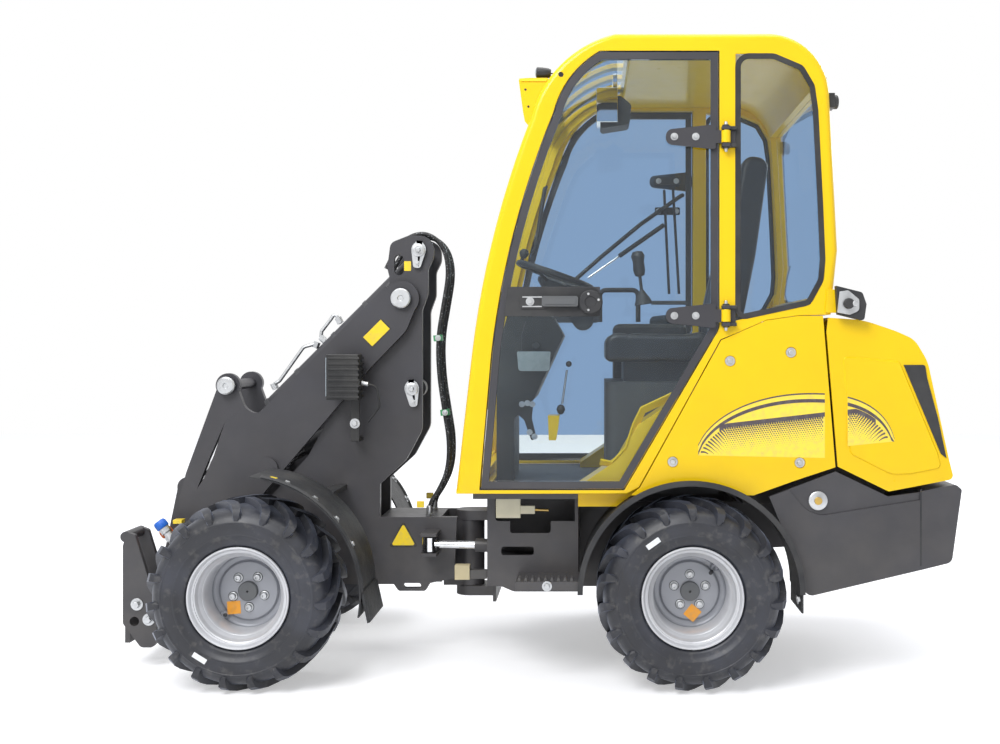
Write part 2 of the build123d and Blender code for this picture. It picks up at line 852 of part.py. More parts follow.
# Cab floor with its rear bulkhead and shelf
bulkhead_x = 660
shelf_z = 1160
hood_hinge = (1035, 1222)
floor_half = cab_half - cab_wall - seat_gap
wheel_box_y = fender_inner_y - seat_gap
arch_front_x = 165
with BuildPart() as cab_floor:
    add(block((-195, -floor_half, frame_top_z), (arch_front_x, floor_half, cab_floor_z)))
    add(block((arch_front_x, -wheel_box_y, frame_top_z), (bulkhead_x, wheel_box_y, cab_floor_z)))
    add(block((bulkhead_x - 12, -floor_half, 700), (bulkhead_x, floor_half, shelf_z)))
    add(block((bulkhead_x - 12, -wheel_box_y, cab_floor_z), (bulkhead_x, wheel_box_y, 700)))
    add(block((bulkhead_x - 12, -floor_half, shelf_z - 12), (990, floor_half, shelf_z)))
    with BuildPart(mode=Mode.PRIVATE) as hinge_lugs:
        with BuildSketch(side_plane(-380)):
            outline([(968, shelf_z - 12), (990, shelf_z - 12), (1044, 1215), (1026, 1226)])
            with Locations(hood_hinge):
                Circle(11)
        extrude(amount=12)
        mirror(about=Plane.XZ)
    add(hinge_lugs.part)
    for side in (-1, 1):
        with Locations(Location((hood_hinge[0], side * 398, hood_hinge[1]), (90, 0, 0))):
            Cylinder(8, 36)
write("cab_floor", cab_floor)

# Inner wheel boxes beside the seat
wheel_box_points = [
    (arch_front_x, 600),
    (arch_front_x, cab_floor_z + 20),
    (300, 760),
    (370, 880),
    (510, 975),
    (bulkhead_x - 12, 975),
    (bulkhead_x - 12, 600),
]
with BuildPart() as wheel_boxes:
    with BuildPart(mode=Mode.PRIVATE) as boxes:
        with BuildSketch(side_plane(-wheel_box_y)):
            outline(wheel_box_points)
            with Locations((rear_axle_x, axle_z)):
                Circle(arch_radius + fender_plate + seat_gap, mode=Mode.SUBTRACT)
        extrude(amount=floor_half - wheel_box_y)
        mirror(about=Plane.XZ)
    add(boxes.part)
write("wheel_boxes", wheel_boxes)

# Seat on its base
cushion_half = 230
back_half = 220
seat_base_half = 235
with BuildPart() as seat_base:
    add(block((262, -seat_base_half, cab_floor_z), (640, seat_base_half, 1020)))
    upright = [edge for edge in seat_base.edges().filter_by(Axis.Z) if edge.center().X < 300]
    fillet(upright, 45)
    add(block((330, -150, 1020), (600, 150, 1090)))
write("seat_base", seat_base)

with BuildPart() as seat_cushion:
    with BuildSketch(side_plane(cushion_half)):
        outline([(262, 1092, 20), (262, 1205, 45), (560, 1198, 80), (640, 1215, 30), (640, 1090, 15)])
    extrude(amount=2 * cushion_half)
    fillet([edge for edge in seat_cushion.edges() if abs(edge.center().Y) > cushion_half - 1], 18)
write("seat_cushion", seat_cushion)

with BuildPart() as seat_back:
    with BuildSketch(side_plane(back_half)):
        outline(
            [
                (640.3, shelf_z + seat_gap, 4),
                (640.3, 1240),
                (700, 1500, 200),
                (770, 1850, 40),
                (862, 1835, 40),
                (812, 1480, 200),
                (748, shelf_z + seat_gap, 10),
            ]
        )
    extrude(amount=2 * back_half)
    fillet([edge for edge in seat_back.edges() if abs(edge.center().Y) > back_half - 1], 20)
write("seat_back", seat_back)

# Dashboard column and steering wheel
dash_points = [
    (-140, cab_floor_z),
    (-138, 1130),
    (-100, 1262),
    (70, 1258),
    (108, 1190),
    (0, 955),
    (-75, 880),
    (-75, cab_floor_z),
]
with BuildPart() as dashboard:
    with BuildSketch(side_plane(160)):
        outline(dash_points)
    extrude(amount=320)
    column = Plane(origin=(0, 0, 1230), x_dir=(0, 1, 0), z_dir=(0.45, 0, 0.893))
    with BuildSketch(column):
        Circle(22)
    extrude(amount=90)
write("dashboard", dashboard)

with BuildPart() as steering_wheel:
    with BuildSketch(column.offset(90)):
        Circle(170)
        Circle(150, mode=Mode.SUBTRACT)
        Rectangle(310, 36)
        Circle(40)
    extrude(amount=20)
write("steering_wheel", steering_wheel)

with BuildPart() as side_console:
    add(block((300, 245, 975), (600, 400, 1240)))
write("side_console", side_console)

# Roof lamps and interior mirror
with BuildPart() as roof_lamps:
    for side in (-1, 1):
        lamp_y = sorted((side * 455, side * 515))
        add(block((-75, lamp_y[0], 1960), (70, lamp_y[1], 2070)))
    with BuildSketch(side_plane(cab_half)):
        cab_silhouette()
    extrude(amount=2 * cab_half, mode=Mode.SUBTRACT)
write("roof_lamps", roof_lamps)

roof_skin_low_z = roof_z - glass_inset - glass_thickness - seat_gap
with BuildPart() as interior_mirror:
    add(block((230, -100, roof_z - 220), (310, 60, roof_z - 90)))
    add(block((294, -28, roof_z - 90), (310, -12, roof_skin_low_z)))
write("interior_mirror", interior_mirror)

# Side panels beside the seat and over the rear wheels
# X, Z of the round dimples that hold the panel bolts
dimple_places = [(680, 1099), (886, 1128), (916, 755), (486, 758)]
dimple_radius = 19
dimple_depth = 5
panel_points = [
    (650, 1169.5),
    (700, 1191.5),
    (803, 1236.5),
    (908, 1251.5),
    (994, 1252),
    (1036, 740),
    (900, 695),
    (760, 645),
    (345, 645),
    (375.5, 672),
]
with BuildPart() as side_panels:
    with BuildPart(mode=Mode.PRIVATE) as shaped:
        with BuildSketch(side_plane(-panel_half + panel_plate)):
            outline(panel_points)
            with Locations((rear_axle_x, axle_z)):
                Circle(arch_radius + fender_plate + seat_gap, mode=Mode.SUBTRACT)
        extrude(amount=panel_plate)
        with BuildSketch(side_plane(-panel_half + dimple_depth)):
            with Locations(dimple_places):
                Circle(dimple_radius)
        extrude(amount=dimple_depth + 1, mode=Mode.SUBTRACT)
        mirror(about=Plane.XZ)
    add(shaped.part)
write("side_panels", side_panels)

# Rear fenders: arched sheets over the rear wheels
with BuildPart() as rear_fenders:
    with BuildPart(mode=Mode.PRIVATE) as arches:
        with BuildSketch(side_plane(-fender_inner_y)):
            with Locations((rear_axle_x, axle_z)):
                Circle(arch_radius + fender_plate)
                Circle(arch_radius, mode=Mode.SUBTRACT)
            with Locations((rear_axle_x, axle_z - 250)):
                Rectangle(900, 500, mode=Mode.SUBTRACT)
        extrude(amount=fender_outer_y - fender_inner_y)
        with BuildSketch(side_plane(-fender_outer_y + fender_lip)):
            with Locations((rear_axle_x, axle_z)):
                Circle(arch_radius + 2 * fender_plate)
                Circle(arch_radius - fender_plate, mode=Mode.SUBTRACT)
            with Locations((rear_axle_x, axle_z - 250)):
                Rectangle(900, 500, mode=Mode.SUBTRACT)
        extrude(amount=fender_lip)
        flap_x = rear_axle_x + arch_radius
        flap_low = (flap_x, -fender_outer_y + 5, axle_z - 62)
        add(block(flap_low, (flap_x + fender_plate, -fender_inner_y - 20, axle_z + 4)))
        mirror(about=Plane.XZ)
    add(arches.part)
write("rear_fenders", rear_fenders)

# Skirts between the rear wheels and the bumper
skirt_plate = 20
skirt_points = [
    (812, 640),
    (1038, 725),
    (1216, 640),
    (bumper_x - seat_gap, 655),
    (bumper_x - seat_gap, 392),
    (935, 300, 30),
    (912, 400),
]
skirt_pocket = [(871, 674), (935, 596, 60), (986, 576, 60), (1330, 630), (1330, 760), (871, 760)]
with BuildPart() as skirts:
    with BuildPart(mode=Mode.PRIVATE) as cheeks:
        with BuildSketch(side_plane(-panel_half + skirt_plate)):
            outline(skirt_points)
            with Locations((rear_axle_x, axle_z)):
                Circle(arch_radius + fender_plate + seat_gap, mode=Mode.SUBTRACT)
        extrude(amount=skirt_plate)
        with BuildSketch(side_plane(-panel_half + 6)):
            outline(skirt_pocket)
        extrude(amount=7, mode=Mode.SUBTRACT)
        mirror(about=Plane.XZ)
    add(cheeks.part)
write("skirts", skirts)

with BuildPart() as rear_bumper:
    with BuildSketch(side_plane(panel_half)):
        outline([(bumper_x, 392), (bumper_x, 658), (1444, 682, 20), (tail_x, 664, 10), (1430, 418, 25)])
    extrude(amount=2 * panel_half)
write("rear_bumper", rear_bumper)

# Hood: hollow shell over the engine, hinged at its front top edge
hood_points = [
    (1012, 1246),
    (1130, 1238, 300),
    (1242, 1200, 400),
    (1304, 1172, 80),
    (1348, 1098, 150),
    (1420, 766),
    (1437, 700, 16),
    (1216, 658),
    (1044, 742),
    (1006, 1200),
]
hood_raised = [
    (1060, 1116, 15),
    (1253, 1099, 15),
    (1382, 790, 30),
    (1396, 737, 20),
    (1286, 716, 60),
    (1225, 714, 60),
    (1084, 785, 25),
]
raised_height = 5
hood_hollow = [
    (980, 1240),
    (1128, 1230, 300),
    (1238, 1192, 400),
    (1298, 1165, 80),
    (1340, 1094, 150),
    (1412, 764),
    (1428, 660),
    (980, 600),
]
with BuildPart() as hood:
    with BuildSketch(side_plane(panel_half)):
        outline(hood_points)
    extrude(amount=2 * panel_half)
    with BuildSketch(side_plane(panel_half - hood_wall)):
        outline(hood_hollow)
    extrude(amount=2 * (panel_half - hood_wall), mode=Mode.SUBTRACT)
    with BuildPart(mode=Mode.PRIVATE) as raised:
        with BuildSketch(side_plane(-panel_half)):
            outline(hood_raised)
        extrude(amount=raised_height, taper=40)
        mirror(about=Plane.XZ)
    add(raised.part)
    hinge_lug = [(1022, 1240), (1050, 1238), (1050, 1212), (1022, 1212)]
    add(side_plates(hinge_lug, 393, 12))
    for side in (-1, 1):
        with Locations(Location((hood_hinge[0], side * 399, hood_hinge[1]), (90, 0, 0))):
            Cylinder(8 + run_gap, 36, mode=Mode.SUBTRACT)
write("hood", hood)

# Front fenders over the rear of the front wheels
with BuildPart() as front_fenders:
    with BuildPart(mode=Mode.PRIVATE) as arches:
        with BuildSketch(side_plane(-fender_inner_y)):
            with Locations((front_axle_x, axle_z)):
                Circle(front_arch_radius + fender_plate)
                Circle(front_arch_radius, mode=Mode.SUBTRACT)
            with Locations((front_axle_x, axle_z - 320)):
                Rectangle(900, 500, mode=Mode.SUBTRACT)
            with Locations((front_axle_x - 420, axle_z)):
                Rectangle(900, 900, mode=Mode.SUBTRACT)
        extrude(amount=front_fender_outer_y - fender_inner_y)
        mirror(about=Plane.XZ)
    add(arches.part)
    for side in (-1, 1):
        y_span = sorted((side * tower_outer_y, side * (fender_inner_y + 15)))
        bracket_x = front_axle_x + 230
        add(block((bracket_x - 25, y_span[0], 618), (bracket_x + 25, y_span[1], 634)))
write("front_fenders", front_fenders)

# Steps below the doors
with BuildPart() as steps:
    for side in (-1, 1):
        y_span = sorted((side * box_half, side * 560))
        add(block((-44, y_span[0], 330), (169, y_span[1], 360)))
write("steps", steps)

# Work lamps beside the tower
with BuildPart() as work_lamps:
    for side in (-1, 1):
        y_span = sorted((side * 190, side * 270))
        add(block((-745, y_span[0], 955), (-630, y_span[1], 1120)))
        bar_y = sorted((side * 190, side * 200))
        foot_y = sorted((side * tower_outer_y, side * 200))
        add(block((-670, bar_y[0], 800), (-640, bar_y[1], 960)))
        add(block((-670, foot_y[0], 800), (-640, foot_y[1], 812)))
write("work_lamps", work_lamps)

# Steering cylinder between the two halves, on the near side
steer_barrel_radius = 24
steer_rod_radius = 14
steer_barrel_end = 312
steer_bore_start = 38
steer_rod_start = 173
steer_span = hypot(steer_eye[0] - steer_base[0], steer_eye[1] - steer_base[1])
steer_dir = ((steer_eye[0] - steer_base[0]) / steer_span, (steer_eye[1] - steer_base[1]) / steer_span, 0)
steer_run = Plane(origin=(steer_base[0], steer_base[1], steer_z), x_dir=(0, 0, 1), z_dir=steer_dir)
with BuildPart() as steering_barrel:
    with BuildSketch(steer_run.offset(30)):
        Circle(steer_barrel_radius)
    extrude(amount=steer_barrel_end - 30)
    with Locations((steer_base[0], steer_base[1], steer_z)):
        Cylinder(32, 40)
        Cylinder(steer_pin_radius + run_gap, 60, mode=Mode.SUBTRACT)
    with BuildSketch(steer_run.offset(steer_bore_start)):
        Circle(steer_rod_radius + run_gap)
    extrude(amount=steer_barrel_end - steer_bore_start + 5, mode=Mode.SUBTRACT)
write("steering_barrel", steering_barrel)

with BuildPart() as steering_rod:
    with BuildSketch(steer_run.offset(steer_rod_start)):
        Circle(steer_rod_radius)
    extrude(amount=steer_span - steer_rod_start)
    with Locations((steer_eye[0], steer_eye[1], steer_z)):
        Cylinder(26, 2 * (clevis_gap - swing_gap))
write("steering_rod", steering_rod)

# Dark inserts at the rear corners of the hood
insert_points = [(1266, 1086), (1338, 1086, 8), (1345, 1042, 30), (1382, 905, 30), (1410, 772), (1392, 785)]
with BuildPart() as tail_inserts:
    with BuildPart(mode=Mode.PRIVATE) as cheek_plates:
        with BuildSketch(side_plane(-panel_half)):
            outline(insert_points)
        extrude(amount=4)
        mirror(about=Plane.XZ)
    add(cheek_plates.part)
write("tail_inserts", tail_inserts)


def fillet_radii(points):
    """Largest tangent arc at each corner: 0.45 of the shorter run over the tangent of half the turn."""
    radii = []
    for before, corner, after in zip(points, points[1:], points[2:]):
        run_in = Vector(*corner) - Vector(*before)
        run_out = Vector(*after) - Vector(*corner)
        half_turn = radians(run_in.get_angle(run_out)) / 2
        radii.append(0.45 * min(run_in.length, run_out.length) / tan(half_turn))
    return radii


# Hoses held behind the tower and over its ears: X, Z down the route, then y of each hose
hose_route = [
    (-560, 1440),
    (-520, 1530),
    (-430, 1583),
    (-350, 1540),
    (-322, 1440),
    (-345, 1300),
    (-366, 1180),
    (-362, 1040),
    (-340, 900),
    (-322, 790),
    (-328, 680),
    (-366, 600),
    (-398, 556),
    (-398, 512.3),
]
with BuildPart() as hoses:
    for hose_y in (-62, -84, 62):
        points = [(x, hose_y, z) for x, z in hose_route]
        with BuildLine() as run_line:
            FilletPolyline(*points, radius=fillet_radii(points))
        start = run_line.wires()[0]
        with BuildSketch(Plane(origin=start @ 0, z_dir=start % 0)):
            Circle(hose_radius)
        sweep(path=start)
write("hoses", hoses)
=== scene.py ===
import json
import math

import bmesh
import bpy
from mathutils import Matrix, Vector

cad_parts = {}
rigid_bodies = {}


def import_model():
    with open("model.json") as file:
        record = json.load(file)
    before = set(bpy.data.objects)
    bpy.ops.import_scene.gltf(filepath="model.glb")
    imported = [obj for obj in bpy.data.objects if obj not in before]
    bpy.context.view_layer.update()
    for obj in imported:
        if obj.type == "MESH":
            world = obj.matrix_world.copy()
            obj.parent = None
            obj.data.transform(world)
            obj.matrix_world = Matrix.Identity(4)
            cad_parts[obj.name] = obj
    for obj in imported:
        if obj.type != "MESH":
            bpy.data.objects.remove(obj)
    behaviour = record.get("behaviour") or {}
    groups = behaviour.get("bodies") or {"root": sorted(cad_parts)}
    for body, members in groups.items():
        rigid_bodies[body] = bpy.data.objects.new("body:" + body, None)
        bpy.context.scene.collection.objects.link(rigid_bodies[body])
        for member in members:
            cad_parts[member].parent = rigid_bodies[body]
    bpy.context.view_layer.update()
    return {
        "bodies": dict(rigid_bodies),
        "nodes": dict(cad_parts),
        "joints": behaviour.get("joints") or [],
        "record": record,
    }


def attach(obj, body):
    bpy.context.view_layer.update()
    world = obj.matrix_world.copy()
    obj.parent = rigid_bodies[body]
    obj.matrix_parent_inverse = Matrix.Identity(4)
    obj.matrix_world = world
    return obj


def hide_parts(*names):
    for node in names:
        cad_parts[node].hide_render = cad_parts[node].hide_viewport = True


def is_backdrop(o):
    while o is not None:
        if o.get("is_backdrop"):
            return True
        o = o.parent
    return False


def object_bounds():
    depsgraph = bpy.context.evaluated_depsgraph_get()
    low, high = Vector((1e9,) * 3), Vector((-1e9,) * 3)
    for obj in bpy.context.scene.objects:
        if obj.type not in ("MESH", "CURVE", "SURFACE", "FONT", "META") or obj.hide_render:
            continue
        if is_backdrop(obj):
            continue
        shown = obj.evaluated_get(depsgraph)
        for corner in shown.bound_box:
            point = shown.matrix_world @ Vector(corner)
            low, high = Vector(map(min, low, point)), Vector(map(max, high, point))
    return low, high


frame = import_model()
nodes = frame["nodes"]
slot_of = {part["node"]: part["material_slot"] for part in frame["record"]["subparts"]}

# The scene is in metres and the Piece kit takes millimetres.
# The machine faces -X, its near side is -Y, and it stands on Z = 0.


def srgb(code):
    """Linear colour of a hex code."""
    parts = [int(code[i : i + 2], 16) / 255 for i in (0, 2, 4)]
    return tuple(p / 12.92 if p <= 0.04045 else ((p + 0.055) / 1.055) ** 2.4 for p in parts)


def new_node(tree, kind, **settings):
    """Shader node of a kind, with its settings."""
    made = tree.nodes.new("ShaderNode" + kind)
    for name, value in settings.items():
        setattr(made, name, value)
    return made


class Look:
    """A material on one Principled shader, with short calls for its usual textures."""

    def __init__(self, name, colour, roughness, metallic=0.0, **sockets):
        self.material = bpy.data.materials.new(name)
        self.material.use_nodes = True
        self.tree = self.material.node_tree
        self.shader = self.tree.nodes["Principled BSDF"]
        self.colour = (*srgb(colour), 1)
        self.shader.inputs["Base Color"].default_value = self.colour
        self.shader.inputs["Roughness"].default_value = roughness
        self.shader.inputs["Metallic"].default_value = metallic
        for socket, value in sockets.items():
            self.shader.inputs[socket.replace("_", " ")].default_value = value

    def node(self, kind, **settings):
        return new_node(self.tree, kind, **settings)

    def join(self, source, target):
        self.tree.links.new(source, target)

    def position(self):
        """The point's place in the piece."""
        return self.node("TexCoord").outputs["Object"]

    def noise(self, scale, detail=3.0):
        made = self.node("TexNoise")
        made.inputs["Scale"].default_value = scale
        made.inputs["Detail"].default_value = detail
        self.join(self.position(), made.inputs["Vector"])
        return made.outputs["Fac"]

    def cells(self, scale, feature="F1"):
        made = self.node("TexVoronoi", feature=feature)
        made.inputs["Scale"].default_value = scale
        self.join(self.position(), made.inputs["Vector"])
        return made.outputs["Distance"]

    def height(self, low, high):
        """0 below the low height and 1 above the high one."""
        parts = self.node("SeparateXYZ")
        self.join(self.position(), parts.inputs[0])
        return self.remap(parts.outputs["Z"], low, high)

    def remap(self, value, low, high, start=0.0, end=1.0):
        """From start to end as value goes from low to high."""
        made = self.node("MapRange")
        for name, number in (("From Min", low), ("From Max", high), ("To Min", start), ("To Max", end)):
            made.inputs[name].default_value = number
        self.join(value, made.inputs["Value"])
        return made.outputs["Result"]

    def times(self, a, b):
        made = self.node("Math", operation="MULTIPLY")
        self.join(a, made.inputs[0])
        if isinstance(b, (int, float)):
            made.inputs[1].default_value = b
        else:
            self.join(b, made.inputs[1])
        return made.outputs[0]

    def tint(self, share, colour):
        """Blends the base colour towards a hex colour by share."""
        made = self.node("Mix", data_type="RGBA")
        base = self.shader.inputs["Base Color"]
        if base.is_linked:
            self.join(base.links[0].from_socket, made.inputs[6])
        else:
            made.inputs[6].default_value = base.default_value
        made.inputs[7].default_value = (*srgb(colour), 1)
        self.join(share, made.inputs[0])
        self.join(made.outputs[2], base)
        return self

    def mottle(self, scale, detail, low, high, share, colour):
        """Clouds of another colour, from none at the low noise to the share at the high one."""
        return self.tint(self.remap(self.noise(scale, detail), low, high, 0.0, share), colour)

    def rough(self, value, start, end):
        """Roughness from start to end as value goes from 0 to 1."""
        self.join(self.remap(value, 0.0, 1.0, start, end), self.shader.inputs["Roughness"])
        return self

    def bump(self, value, strength, distance):
        """Relief from a value, on top of what is there."""
        made = self.node("Bump")
        made.inputs["Strength"].default_value = strength
        made.inputs["Distance"].default_value = distance
        normal = self.shader.inputs["Normal"]
        if normal.is_linked:
            self.join(normal.links[0].from_socket, made.inputs["Normal"])
        self.join(value, made.inputs["Height"])
        self.join(made.outputs[0], normal)
        return self


def yellow_paint():
    """Gloss paint with orange peel, a little dust low down and faint mottling."""
    look = Look("yellow_paint", "F4CB00", 0.28, Coat_Weight=0.25, Coat_Roughness=0.1, Specular_IOR_Level=0.3)
    look.mottle(3.5, 4, 0.35, 0.75, 0.2, "E6B400")
    dust = look.times(look.remap(look.height(0.55, 1.15), 0, 1, 0.22, 0.03), look.noise(14, 6))
    look.tint(dust, "B08A30")
    look.rough(look.noise(22, 4), 0.22, 0.42)
    return look.bump(look.noise(260, 2), 0.05, 0.0015)


def satin_paint(name, colour, dusty=0.25):
    """Dark satin paint on steel plate, with fine grain, worn spots and dust."""
    look = Look(name, colour, 0.45, Coat_Weight=0.15, Coat_Roughness=0.35)
    look.mottle(5, 5, 0.4, 0.8, 0.35, "44454D")
    dust = look.times(look.remap(look.height(0.15, 1.0), 0, 1, dusty, 0.05), look.noise(11, 7))
    look.tint(dust, "8C8578")
    look.rough(look.noise(30, 5), 0.36, 0.6)
    look.bump(look.noise(420, 3), 0.12, 0.001)
    return look.bump(look.noise(35, 3), 0.04, 0.002)


def moulded(name, colour, roughness=0.55):
    """Moulded plastic with a fine pebbled grain."""
    look = Look(name, colour, roughness)
    look.mottle(9, 4, 0.4, 0.8, 0.25, "6C6A66")
    look.rough(look.noise(40, 4), roughness - 0.1, roughness + 0.15)
    return look.bump(look.cells(900), 0.25, 0.0006)


def tyre_rubber():
    """Tyre rubber with a bluish bloom on its sides, fine grain and dust between the lugs."""
    bloom = (0.6, 0.68, 0.9, 1)
    look = Look("tyre_rubber", "25262B", 0.5, Sheen_Weight=0.3, Sheen_Roughness=0.35, Sheen_Tint=bloom)
    look.mottle(7, 6, 0.42, 0.75, 0.55, "41444F")
    look.tint(look.times(look.remap(look.noise(38, 8), 0.55, 0.85), 0.45), "73706B")
    look.rough(look.noise(18, 5), 0.34, 0.54)
    look.bump(look.noise(650, 3), 0.2, 0.0008)
    return look.bump(look.noise(60, 4), 0.1, 0.002)


def metal(name, colour, roughness, spread):
    """Bare or plated metal with cloudy stains and fine scratches."""
    look = Look(name, colour, roughness, metallic=1.0)
    look.mottle(25, 6, 0.45, 0.8, 0.45, "77787A")
    look.rough(look.noise(60, 5), roughness, roughness + spread)
    return look.bump(look.noise(500, 2), 0.06, 0.0005)


def silver_paint(name, colour):
    """Wheel paint: pale silver-grey with road film."""
    look = Look(name, colour, 0.38, metallic=0.25, Coat_Weight=0.25, Coat_Roughness=0.25)
    look.mottle(12, 6, 0.42, 0.8, 0.3, "8F9094")
    look.rough(look.noise(40, 4), 0.3, 0.5)
    return look.bump(look.noise(320, 2), 0.06, 0.001)


def vinyl_hide():
    """Seat vinyl with leather grain."""
    look = Look("seat_vinyl", "1D1E22", 0.45, Sheen_Weight=0.1)
    look.mottle(10, 4, 0.4, 0.8, 0.35, "35363B")
    look.rough(look.noise(30, 4), 0.34, 0.55)
    look.bump(look.cells(700, "DISTANCE_TO_EDGE"), 0.2, 0.0005)
    return look.bump(look.noise(900, 2), 0.1, 0.0004)


def hose_rubber():
    """Wire-braided hose cover with a fine spiral print of its own wrap."""
    look = Look("hose_cover", "17181A", 0.55)
    look.mottle(45, 5, 0.5, 0.8, 0.35, "4A4A4A")
    look.tint(look.remap(look.cells(120), 0.12, 0.3, 0.7, 0.0), "A9ACB0")
    return look.bump(look.noise(800, 2), 0.2, 0.0008)


def printed(name, colour):
    """Blank printed label: smooth film with slight fading and scuffs."""
    look = Look(name, colour, 0.35, Coat_Weight=0.3, Coat_Roughness=0.2)
    look.mottle(55, 5, 0.45, 0.8, 0.3, "8A8A84")
    return look.rough(look.noise(80, 4), 0.3, 0.5)


def window_glass():
    """Faintly tinted clear glass that lets light from the lamps in."""
    look = Look("window_glass", "EEF4F5", 0.0, Transmission_Weight=1.0, IOR=1.45)
    clear = look.node("BsdfTransparent")
    clear.inputs["Color"].default_value = (*srgb("E6EDEE"), 1)
    path = look.node("LightPath")
    either = look.node("Math", operation="MAXIMUM")
    look.join(path.outputs["Is Shadow Ray"], either.inputs[0])
    look.join(path.outputs["Is Diffuse Ray"], either.inputs[1])
    mix = look.node("MixShader")
    look.join(either.outputs[0], mix.inputs[0])
    look.join(look.shader.outputs[0], mix.inputs[1])
    look.join(clear.outputs[0], mix.inputs[2])
    output = look.tree.nodes["Material Output"]
    look.join(mix.outputs[0], output.inputs["Surface"])
    return look


looks = {
    "yellow": yellow_paint(),
    "anthracite": satin_paint("anthracite_paint", "2D2D33"),
    "glass": window_glass(),
    "tyre": tyre_rubber(),
    "rim": silver_paint("rim_paint", "C9CACD"),
    "disc": silver_paint("disc_paint", "94969C"),
    "vinyl": vinyl_hide(),
    "black_plastic": moulded("black_plastic", "232427"),
    "grey_plastic": moulded("grey_plastic", "4B4C50"),
    "chrome": metal("chrome_rod", "D9DADC", 0.08, 0.08),
    "zinc": metal("zinc_plate", "C4C6C8", 0.3, 0.2),
    "brass": metal("brass", "C8A75A", 0.3, 0.2),
    "mirror": Look("mirror_face", "E8E8E8", 0.03, metallic=1.0),
    "iron": satin_paint("iron_casting", "35363A", 0.4),
    "hose": hose_rubber(),
    "lamp": moulded("lamp_body", "1A1B1D", 0.4),
    "seal": moulded("rubber_seal", "1E1F22", 0.6),
    "hub_grey": moulded("hub_grey", "5A5C5E", 0.45),
    "label_white": printed("label_white", "E6E8EA"),
    "label_orange": printed("label_orange", "E89A10"),
    "label_yellow": printed("label_yellow", "F2D21E"),
    "ink": printed("label_ink", "26241E"),
    "decal_ink": printed("decal_ink", "4A4045"),
    "decal_film": printed("decal_film", "FBDD45"),
    "clamp_green": moulded("clamp_green", "3F9A63", 0.45),
    "clear_plastic": moulded("clear_plastic", "A9B4BC", 0.25),
    "ivory": moulded("ivory_plastic", "D9D3B8", 0.45),
    "cream": moulded("cream_rubber", "C9BC97", 0.6),
    "blue": moulded("cap_blue", "1F66C8", 0.4),
    "orange": moulded("cap_orange", "E2702A", 0.4),
}


def placed(name, data):
    """New object in the scene."""
    obj = bpy.data.objects.new(name, data)
    bpy.context.scene.collection.objects.link(obj)
    return obj


def add_bevel(obj, width, segments, limit, angle=35):
    """Bevel that rounds the edges its limit picks."""
    bevel = obj.modifiers.new("bevel", "BEVEL")
    bevel.width = width
    bevel.segments = segments
    bevel.limit_method = limit
    bevel.angle_limit = math.radians(angle)
    bevel.harden_normals = True
    return bevel


def drop_normals(data):
    """Takes away the normals that came with a CAD mesh."""
    old = data.attributes.get("custom_normal")
    if old:
        data.attributes.remove(old)


# Stage: camera at the photograph's place, a pale floor and soft light
camera_place = (0.206, -4.423, 1.150)
camera_lens = 41.5
camera_shift = (-0.09, -0.026)
sky = "8FAAD0"


def make_camera():
    """Level camera at the photograph's viewing angle."""
    data = bpy.data.cameras.new("camera")
    data.lens = camera_lens
    data.sensor_width = 36
    data.shift_x, data.shift_y = camera_shift
    camera = placed("camera", data)
    camera.location = camera_place
    camera.rotation_euler = (math.radians(90), 0, 0)
    bpy.context.scene.camera = camera


def seen_ray(tree):
    """1 for rays that look at the background: camera and glossy rays."""
    path = new_node(tree, "LightPath")
    both = new_node(tree, "Math", operation="MAXIMUM")
    tree.links.new(path.outputs["Is Camera Ray"], both.inputs[0])
    tree.links.new(path.outputs["Is Glossy Ray"], both.inputs[1])
    return path, both.outputs[0]


def make_world():
    """White to the camera, blue sky behind the glass, and an even grey-white light on the object."""
    world = bpy.data.worlds.new("world")
    bpy.context.scene.world = world
    world.use_nodes = True
    tree = world.node_tree
    back = tree.nodes["Background"]
    path, seen = seen_ray(tree)
    white = new_node(tree, "Mix", data_type="RGBA")
    white.inputs[6].default_value = (0.62, 0.64, 0.68, 1)
    white.inputs[7].default_value = (1, 1, 1, 1)
    tree.links.new(seen, white.inputs[0])
    through = new_node(tree, "Mix", data_type="RGBA")
    through.inputs[7].default_value = (*srgb(sky), 1)
    tree.links.new(path.outputs["Is Transmission Ray"], through.inputs[0])
    tree.links.new(white.outputs[2], through.inputs[6])
    tree.links.new(through.outputs[2], back.inputs["Color"])
    back.inputs["Strength"].default_value = 1.0


def make_floor():
    """Pale floor, lifted to white where the camera sees it lit."""
    bpy.ops.mesh.primitive_plane_add(size=1, location=(0, 2.0, 0))
    floor = bpy.context.object
    floor.name = "floor"
    floor.scale = (40, 17, 1)
    look = Look("floor_paper", "E4E4E6", 0.9)
    path, seen = seen_ray(look.tree)
    seen_or_through = look.node("Math", operation="MAXIMUM")
    look.join(seen, seen_or_through.inputs[0])
    look.join(path.outputs["Is Transmission Ray"], seen_or_through.inputs[1])
    look.shader.inputs["Emission Color"].default_value = (1, 1, 1, 1)
    look.join(look.times(seen_or_through.outputs[0], 0.42), look.shader.inputs["Emission Strength"])
    floor.data.materials.append(look.material)
    floor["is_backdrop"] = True


def make_lamp(name, place, aim, size, power):
    """Soft rectangular light that points at its aim."""
    data = bpy.data.lights.new(name, "AREA")
    data.shape = "RECTANGLE"
    data.size, data.size_y = size
    data.energy = power
    lamp = placed(name, data)
    lamp.location = place
    lamp.rotation_euler = (Vector(aim) - Vector(place)).to_track_quat("-Z", "Y").to_euler()


